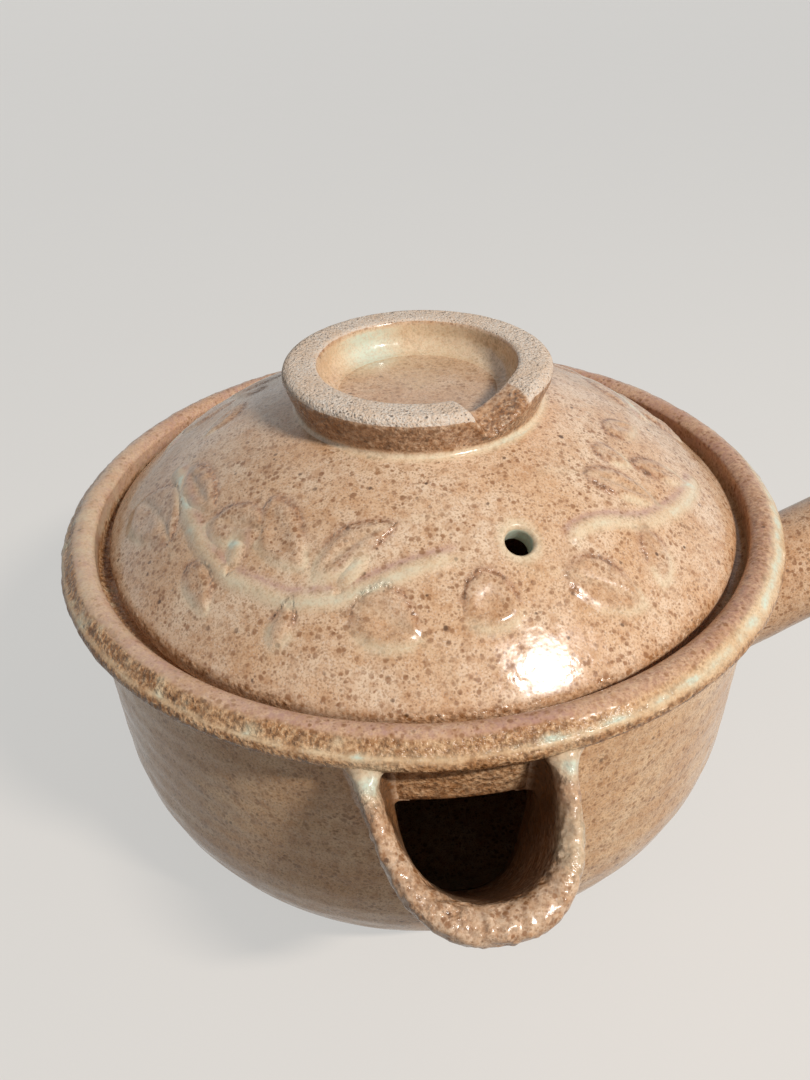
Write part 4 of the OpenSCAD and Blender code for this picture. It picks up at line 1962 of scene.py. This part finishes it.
@dataclass
class Relief:
    """Vine laid on the dome: stems and leaf pads under the glaze."""

    dome: Dome
    stem_h: float = 0.68
    stem_w: float = 2.1
    leaf_h: float = 0.7
    drowned_at: tuple[float, float] = (37.0, -64.0)
    drowned_w: float = 12.0
    drowned: float = 0.35
    stem_near: float = 12.0
    leaf_near: float = 22.0
    margin: float = 3.0
    foot_depth: float = 1.2
    step: float = 0.45
    stems: tuple[tuple[tuple[float, float], ...], ...] = (
        ((-66, -2), (-63, -18), (-60, -30), (-56, -41), (-50, -50), (-42, -57), (-35, -61.5), (-25, -63.5),
         (-15, -62.5), (-5, -60.5), (5, -59)),
        ((28, -56), (33, -51), (40, -48), (50, -45), (58, -39), (64, -33), (69, -26), (74, -16)),
        ((-50, -50), (-48, -45), (-47, -38)),
        ((-25, -63.5), (-20, -58), (-16, -54)),
    )
    leaves: tuple[Leaf, ...] = (
        Leaf((-78, -6), (-66, -32), 14, 1.5, 0.4),
        Leaf((-62, -8), (-54, -30), 9, -1.0, 0.3),
        Leaf((-60, -42), (-55.5, -56), 6, 0.5),
        Leaf((-56, -34), (-40, -45), 10, 1.5, 0.3),
        Leaf((-39, -35), (-32, -56), 10.5, -1.8),
        Leaf((-30, -58.5), (-10.5, -50.5), 8.5, 1.2, 0.3),
        Leaf((-40, -69), (-35, -61.5), 5),
        Leaf((-22, -66.5), (-8, -74.5), 11, 0.8, 0.25),
        Leaf((2.5, -68), (15, -70.5), 11, 0.8),
        Leaf((37, -35), (56, -38), 8, 1.0, 0.25),
        Leaf((48, -16), (59, -6), 7, 0.5),
        Leaf((52, -26), (69, -24), 6.5, 0.6),
        Leaf((26.5, -62.5), (45, -65), 10.5, 0.6, 0.25),
        Leaf((50, -46.5), (51, -59.5), 7, 0.8),
        Leaf((42, -24), (51, -27), 6),
    )

    def __post_init__(self) -> None:
        """Smooths the stems and continues the vine round the far half of the lid."""
        lines = [self._smooth(np.array(stem, dtype=float)) for stem in self.stems]
        turned = -np.eye(2)
        self.lines = lines + [line @ turned for line in lines]
        self.pads = list(self.leaves) + [
            Leaf((-leaf.foot[0], -leaf.foot[1]), (-leaf.tip[0], -leaf.tip[1]), leaf.width, leaf.bend,
                 leaf.rib)
            for leaf in self.leaves]

    @staticmethod
    def _smooth(points: Points) -> Points:
        """Runs a smooth curve through the points of a stem.

        Args:
            points: Points that the stem runs through.

        Returns:
            The points of the curve.
        """
        ends = np.concatenate([[2 * points[0] - points[1]], points, [2 * points[-1] - points[-2]]])
        parts = []
        for before, one, two, after in zip(ends, ends[1:], ends[2:], ends[3:]):
            for share in np.linspace(0.0, 1.0, 12, endpoint=False):
                square, cube = share**2, share**3
                straight = 2 * one + (two - before) * share
                curved = (2 * before - 5 * one + 4 * two - after) * square
                eased = (3 * one - before - 3 * two + after) * cube
                parts.append(0.5 * (straight + curved + eased))
        return np.array(parts + [points[-1]])

    def stem_distance(self, plan: Points) -> tuple[Values, Values, Values]:
        """Finds the nearest stem.

        Args:
            plan: Points seen from above.

        Returns:
            Distance from the middle of the stem, the stem's strength, which fades at its
            ends, and how far downhill of it each point lies.
        """
        nearest = np.full(len(plan), 1e9)
        strength = np.zeros(len(plan))
        downhill = np.zeros(len(plan))
        for line in self.lines:
            run = np.concatenate([[0.0], np.cumsum(norm(np.diff(line, axis=0), axis=1))])
            fade = ramp(0.0, 4.0, run) * ramp(run[-1], run[-1] - 6.0, run)
            for i in range(len(line) - 1):
                one, along = line[i], line[i + 1] - line[i]
                close = np.abs(plan - one).max(axis=1) < self.stem_near
                if not close.any():
                    continue
                spots = plan[close] - one
                share = np.clip((spots @ along) / (along @ along), 0.0, 1.0)
                foot = one + share[:, None] * along
                gap = norm(plan[close] - foot, axis=1)
                better = gap < nearest[close]
                index = np.flatnonzero(close)[better]
                nearest[index] = gap[better]
                strength[index] = (fade[i] * (1 - share) + fade[i + 1] * share)[better]
                out = norm(plan[index], axis=1) - norm(foot[better], axis=1)
                downhill[index] = out
        return nearest, strength, downhill

    def leaf_distance(self, plan: Points) -> tuple[Values, Values, Values]:
        """Finds the nearest leaf.

        Args:
            plan: Points seen from above.

        Returns:
            Distance to its outline, depth of its midrib, and how far each point lies
            downhill of the leaf's middle, from -1 to 1.
        """
        nearest = np.full(len(plan), 1e9)
        groove = np.zeros(len(plan))
        downhill = np.zeros(len(plan))
        for leaf in self.pads:
            middle = (np.array(leaf.foot) + np.array(leaf.tip)) / 2.0
            close = np.flatnonzero(np.abs(plan - middle).max(axis=1) < self.leaf_near)
            if not len(close):
                continue
            gap, rib = leaf.distance(plan[close])
            better = gap < nearest[close]
            index = close[better]
            nearest[index] = gap[better]
            groove[index] = leaf.rib * bell(rib[better], 0.0, 0.9)
            out = middle / norm(middle)
            downhill[index] = np.clip((plan[index] - middle) @ out / (leaf.width / 2.0), -1.0, 1.0)
        return nearest, groove, downhill

    def stem_height(self, plan: Points) -> Values:
        """Height of the stems over the dome.

        Args:
            plan: Points seen from above.

        Returns:
            One height for each point.
        """
        gap, strength, _ = self.stem_distance(plan)
        level = on_level(plan)
        width = self.stem_w * (0.6 + 0.4 * strength) * (1.0 + 0.15 * Grain(5.0, 85).at(level))
        waves = 1.0 + 0.18 * Grain(4.0, 87).at(level)
        return self.stem_h * waves * strength * np.exp(-((gap / width) ** 2.2)) - SINK * 0.8

    def leaf_height(self, plan: Points) -> Values:
        """Height of the leaf pads over the dome.

        Args:
            plan: Points seen from above.

        Returns:
            One height for each point.
        """
        gap, groove, _ = self.leaf_distance(plan)
        level = on_level(plan)
        gap = gap + 0.35 * Grain(3.0, 89).at(level)
        pad = ramp(1.9, -1.9, gap)
        lip = bell(gap, -1.8, 1.7)
        waves = 0.2 * Grain(3.5, 81).at(level)
        away = norm(plan - np.array(self.drowned_at), axis=1)
        drowned = 1.0 - self.drowned * bell(away, 0.0, self.drowned_w)
        return (self.leaf_h * (0.68 + 0.42 * lip) + waves) * pad * drowned - groove * pad - SINK * 0.8

    def glaze(self, plan: Points) -> tuple[Values, Values, Values]:
        """Where the glaze pools at the foot of the relief and where it runs thin on its edges; the pale
        downhill flanks are partly a painted lit side and the dark, rosy uphill edges partly painted shade.

        Args:
            plan: Points seen from above.

        Returns:
            How thick, how thin and how rosy the glaze is at each point, with the painted lit flanks and
            painted shade in them.
        """
        drift = Grain(6.0, 83).at(on_level(plan))
        gap, strength, down = self.stem_distance(plan)
        # Paler downhill flanks are pooled glaze and a painted lit side; darker, rosier uphill edges are thin
        # glaze and painted shade
        stem_pool_and_lit_flank = bell(down, 0.9, 1.9) * ramp(3.4, 1.2, gap) * strength
        stem_thin_and_shade = bell(down, -1.9, 1.0) * ramp(4.0, 2.4, gap) * strength
        edge, groove, slope = self.leaf_distance(plan)
        leaf_pool_and_lit_flank = bell(edge, 0.2, 1.0) * ramp(0.0, 0.8, slope)
        leaf_thin_and_shade = bell(edge, 0.1, 0.75) * ramp(0.4, -0.5, slope)
        pad = ramp(0.0, -1.5, edge) * 0.25
        pool = stem_pool_and_lit_flank * (0.62 + 0.25 * drift) + leaf_pool_and_lit_flank * (0.45 + 0.3 * drift) + groove * 0.5
        thin = leaf_thin_and_shade * (0.8 + 0.3 * drift) + pad
        rose = stem_thin_and_shade * 0.8 + leaf_thin_and_shade * (0.5 + 0.3 * drift)
        return pool, thin, rose

    def _raised(self, name: str, height: Callable[[Points], Values]) -> Piece:
        """Makes closed islands wherever a height over the dome is above its foot.

        Args:
            name: Name of the piece.
            height: Function that gives the height over the dome.

        Returns:
            The piece.
        """
        limit = self.dome.edge_r - self.margin
        count = int(limit / self.step)
        ticks = np.arange(-count, count + 1) * self.step
        plan = np.stack(np.meshgrid(ticks, ticks, indexing="ij"), axis=-1)
        rows = len(ticks)
        flat = plan.reshape(-1, 2)
        over = np.full(len(flat), -1.0)
        on_lid = norm(flat, axis=1) < limit
        over[on_lid] = height(flat[on_lid])
        tall = (over > -SINK * 0.75).reshape(rows, rows)
        cells = tall[:-1, :-1] | tall[1:, :-1] | tall[1:, 1:] | tall[:-1, 1:]
        cells = self._without_pinches(cells)
        corners = [(0, 0), (1, 0), (1, 1), (0, 1)]
        where = np.argwhere(cells)
        quads = np.stack([(where[:, 0] + a) * rows + where[:, 1] + b for a, b in corners], axis=1)
        used, inverse = np.unique(quads, return_inverse=True)
        quads = inverse.reshape(quads.shape)
        top = self.dome.lift(flat[used], over[used])
        bottom = self.dome.lift(flat[used], np.full(len(used), -self.foot_depth))
        faces = [tuple(quad) for quad in quads.tolist()]
        faces += [tuple(i + len(used) for i in reversed(quad)) for quad in quads.tolist()]
        edges = {(one, two): True for quad in quads.tolist() for one, two in zip(quad, quad[1:] + quad[:1])}
        for one, two in edges:
            if (two, one) not in edges:
                faces.append((two, one, one + len(used), two + len(used)))
        return make_piece(name, np.concatenate([top, bottom]), faces)

    @staticmethod
    def _without_pinches(cells: Values) -> Values:
        """Fills cells so that no two islands touch at a corner alone.

        Args:
            cells: Which cells are filled.

        Returns:
            The cells with the pinches filled.
        """
        cells = cells.copy()
        while True:
            a, b, c, d = cells[:-1, :-1], cells[1:, :-1], cells[1:, 1:], cells[:-1, 1:]
            one, two = a & c & ~b & ~d, b & d & ~a & ~c
            if not (one.any() or two.any()):
                return cells
            cells[1:, :-1] |= one
            cells[:-1, :-1] |= two

    def build_stems(self) -> Piece:
        """Makes the stems of the vine."""
        return self._raised("clay_stems", self.stem_height)

    def build_leaves(self) -> Piece:
        """Makes the leaves of the vine."""
        return self._raised("clay_leaves", self.leaf_height)

    def dress(self, piece: Piece, node: str, slot: str, material: Material) -> None:
        """Paints the glaze of stems or leaves and places them.

        Args:
            piece: The stems or the leaves.
            node: Node that they stand for.
            slot: Their material slot. It is not used.
            material: Their glaze.
        """
        points = piece_points(piece)
        pool, thin, rose = self.glaze(points[:, :2])
        paint(piece, Layer.POOL_AND_PAINTED_LIGHT, pool)
        paint(piece, Layer.THIN_AND_PAINTED_SHADE, thin)
        paint(piece, Layer.ROSE_AND_PAINTED_SHADE, rose)
        paint(piece, Layer.BARE, np.zeros(len(points)))
        place(piece, node, Body.LID, material)


@dataclass
class Studio:
    """Camera, floor and lights, all placed in metres."""

    eye: Vector = Vector((-0.02116, -0.21979, 0.24259))
    ahead: Vector = Vector((0.06079, 0.81663, -0.57395))
    right: Vector = Vector((0.99513, -0.09431, -0.02878))
    lens: float = 30.0
    sensor: float = 36.0
    near: float = 0.01
    floor_r: float = 6.0
    floor_rings: int = 24
    floor_turns: int = 96
    key_from: Vector = Vector((0.46, -0.535, 0.709))
    key_at: Vector = Vector((0.04, -0.06, 0.11))
    key_gap: float = 0.9
    key_size: float = 0.21
    key_height: float = 0.045
    key_roll: float = -34.0
    key_watts: float = 8.9
    key_colour: Colour = (1.0, 0.975, 0.94)
    sky_colour: Colour = (0.84, 0.92, 1.0)
    fill: float = 0.25
    white: float = 0.94

    def camera(self) -> Piece:
        """Sets up the camera at the photograph's view.

        Returns:
            The camera.
        """
        data = bpy.data.cameras.new("camera")
        data.lens = self.lens
        data.sensor_width = self.sensor
        data.clip_start = self.near
        ahead = self.ahead.normalized()
        up = self.right.cross(ahead).normalized()
        right = ahead.cross(up)
        turn = Matrix((right, up, -ahead)).transposed()
        piece = bpy.data.objects.new("camera", data)
        piece.matrix_world = Matrix.Translation(self.eye) @ turn.to_4x4()
        bpy.context.scene.collection.objects.link(piece)
        bpy.context.scene.camera = piece
        return piece

    def floor(self) -> Piece:
        """Lays the pale paper that the pot stands on.

        Returns:
            The paper.
        """
        turns = self.floor_turns
        rings = np.linspace(0.0, 1.0, self.floor_rings) ** 2 * self.floor_r / MM
        line = np.stack([rings, np.zeros(self.floor_rings)], axis=1)
        points = np.concatenate([[[0.0, 0.0, 0.0]], spin(line[1:], turns).reshape(-1, 3)])
        faces = [(0, 1 + i, 1 + (i + 1) % turns) for i in range(turns)]
        for row in range(self.floor_rings - 2):
            for i in range(turns):
                one, two = 1 + row * turns + i, 1 + row * turns + (i + 1) % turns
                faces.append((one, one + turns, two + turns, two))
        piece = make_piece("floor", points, faces)
        piece.data.materials.append(Backdrop().material())
        piece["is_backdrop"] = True
        return piece

    def key(self) -> Piece:
        """Hangs the key light to the right and in front.

        Returns:
            The light.
        """
        data = bpy.data.lights.new("key", "AREA")
        data.shape = "ELLIPSE"
        data.size = self.key_size
        data.size_y = self.key_height
        data.energy = self.key_watts
        data.color = self.key_colour
        piece = bpy.data.objects.new("key", data)
        way = self.key_from.normalized()
        piece.location = self.key_at + way * self.key_gap
        roll = Quaternion((0.0, 0.0, 1.0), math.radians(self.key_roll))
        piece.rotation_euler = (way.to_track_quat("Z", "Y") @ roll).to_euler()
        bpy.context.scene.collection.objects.link(piece)
        return piece

    def world(self) -> None:
        """Sets a soft sky that is white where it is seen and gentler where it lights."""
        world = bpy.data.worlds.new("sky")
        bpy.context.scene.world = world
        world.use_nodes = True
        tree = world.node_tree
        tree.nodes.clear()
        rays = tree.nodes.new("ShaderNodeLightPath")
        seen = rays.outputs["Is Camera Ray"]
        for name in ("Is Glossy Ray", "Is Transmission Ray"):
            either = tree.nodes.new("ShaderNodeMath")
            either.operation = "MAXIMUM"
            tree.links.new(seen, either.inputs[0])
            tree.links.new(rays.outputs[name], either.inputs[1])
            seen = either.outputs[0]
        lights, shows = (tree.nodes.new("ShaderNodeBackground") for _ in range(2))
        lights.inputs["Color"].default_value = (*self.sky_colour, 1.0)
        lights.inputs["Strength"].default_value = self.fill
        shows.inputs["Color"].default_value = (self.white, self.white, self.white, 1.0)
        mix, out = tree.nodes.new("ShaderNodeMixShader"), tree.nodes.new("ShaderNodeOutputWorld")
        tree.links.new(seen, mix.inputs[0])
        tree.links.new(lights.outputs[0], mix.inputs[1])
        tree.links.new(shows.outputs[0], mix.inputs[2])
        tree.links.new(mix.outputs[0], out.inputs[0])

    def build(self) -> None:
        """Sets up everything round the pot."""
        bpy.context.scene.view_settings.view_transform = "Standard"
        self.camera()
        self.floor()
        self.key()
        self.world()


def main() -> None:
    """Builds the studio, the pot and the lid, piece by piece."""
    logging.basicConfig(level=logging.INFO, format="%(name)s: %(message)s", stream=sys.stdout)
    Studio().build()

    bowl = Bowl()
    spout = Spout(bowl)
    clay = bowl.build()
    carve(clay, spout.build_cutter())
    bowl.dress(clay, spout, Glaze("bowl_glaze", light=tone(230, 194, 153), warm=tone(216, 173, 129),
                                  freckled=0.8, shine=0.2).material())
    spout.dress(spout.build(), Glaze("spout_glaze").material())
    handle = Handle(bowl)
    handle.dress(handle.build(), Glaze("handle_glaze", light=tone(218, 183, 148),
                                            warm=tone(203, 161, 121)).material())

    dome = Dome()
    relief = Relief(dome)
    dome.dress(dome.build(), relief, Glaze("lid_glaze").material())
    knob = Knob(dome)
    knob.dress(knob.build(), Glaze("knob_clay").material())
    relief.dress(relief.build_stems(), "lid_vine", "vine_glaze", Glaze("vine_glaze").material())
    relief.dress(relief.build_leaves(), "lid_leaves", "leaf_glaze", Glaze("leaf_glaze").material())


def write_sizes() -> None:
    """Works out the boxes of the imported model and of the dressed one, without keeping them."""
    [[list(corner) for corner in box] for box in (CAD_BOUNDS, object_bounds())]


if __name__ == "__main__":
    main()
    write_sizes()
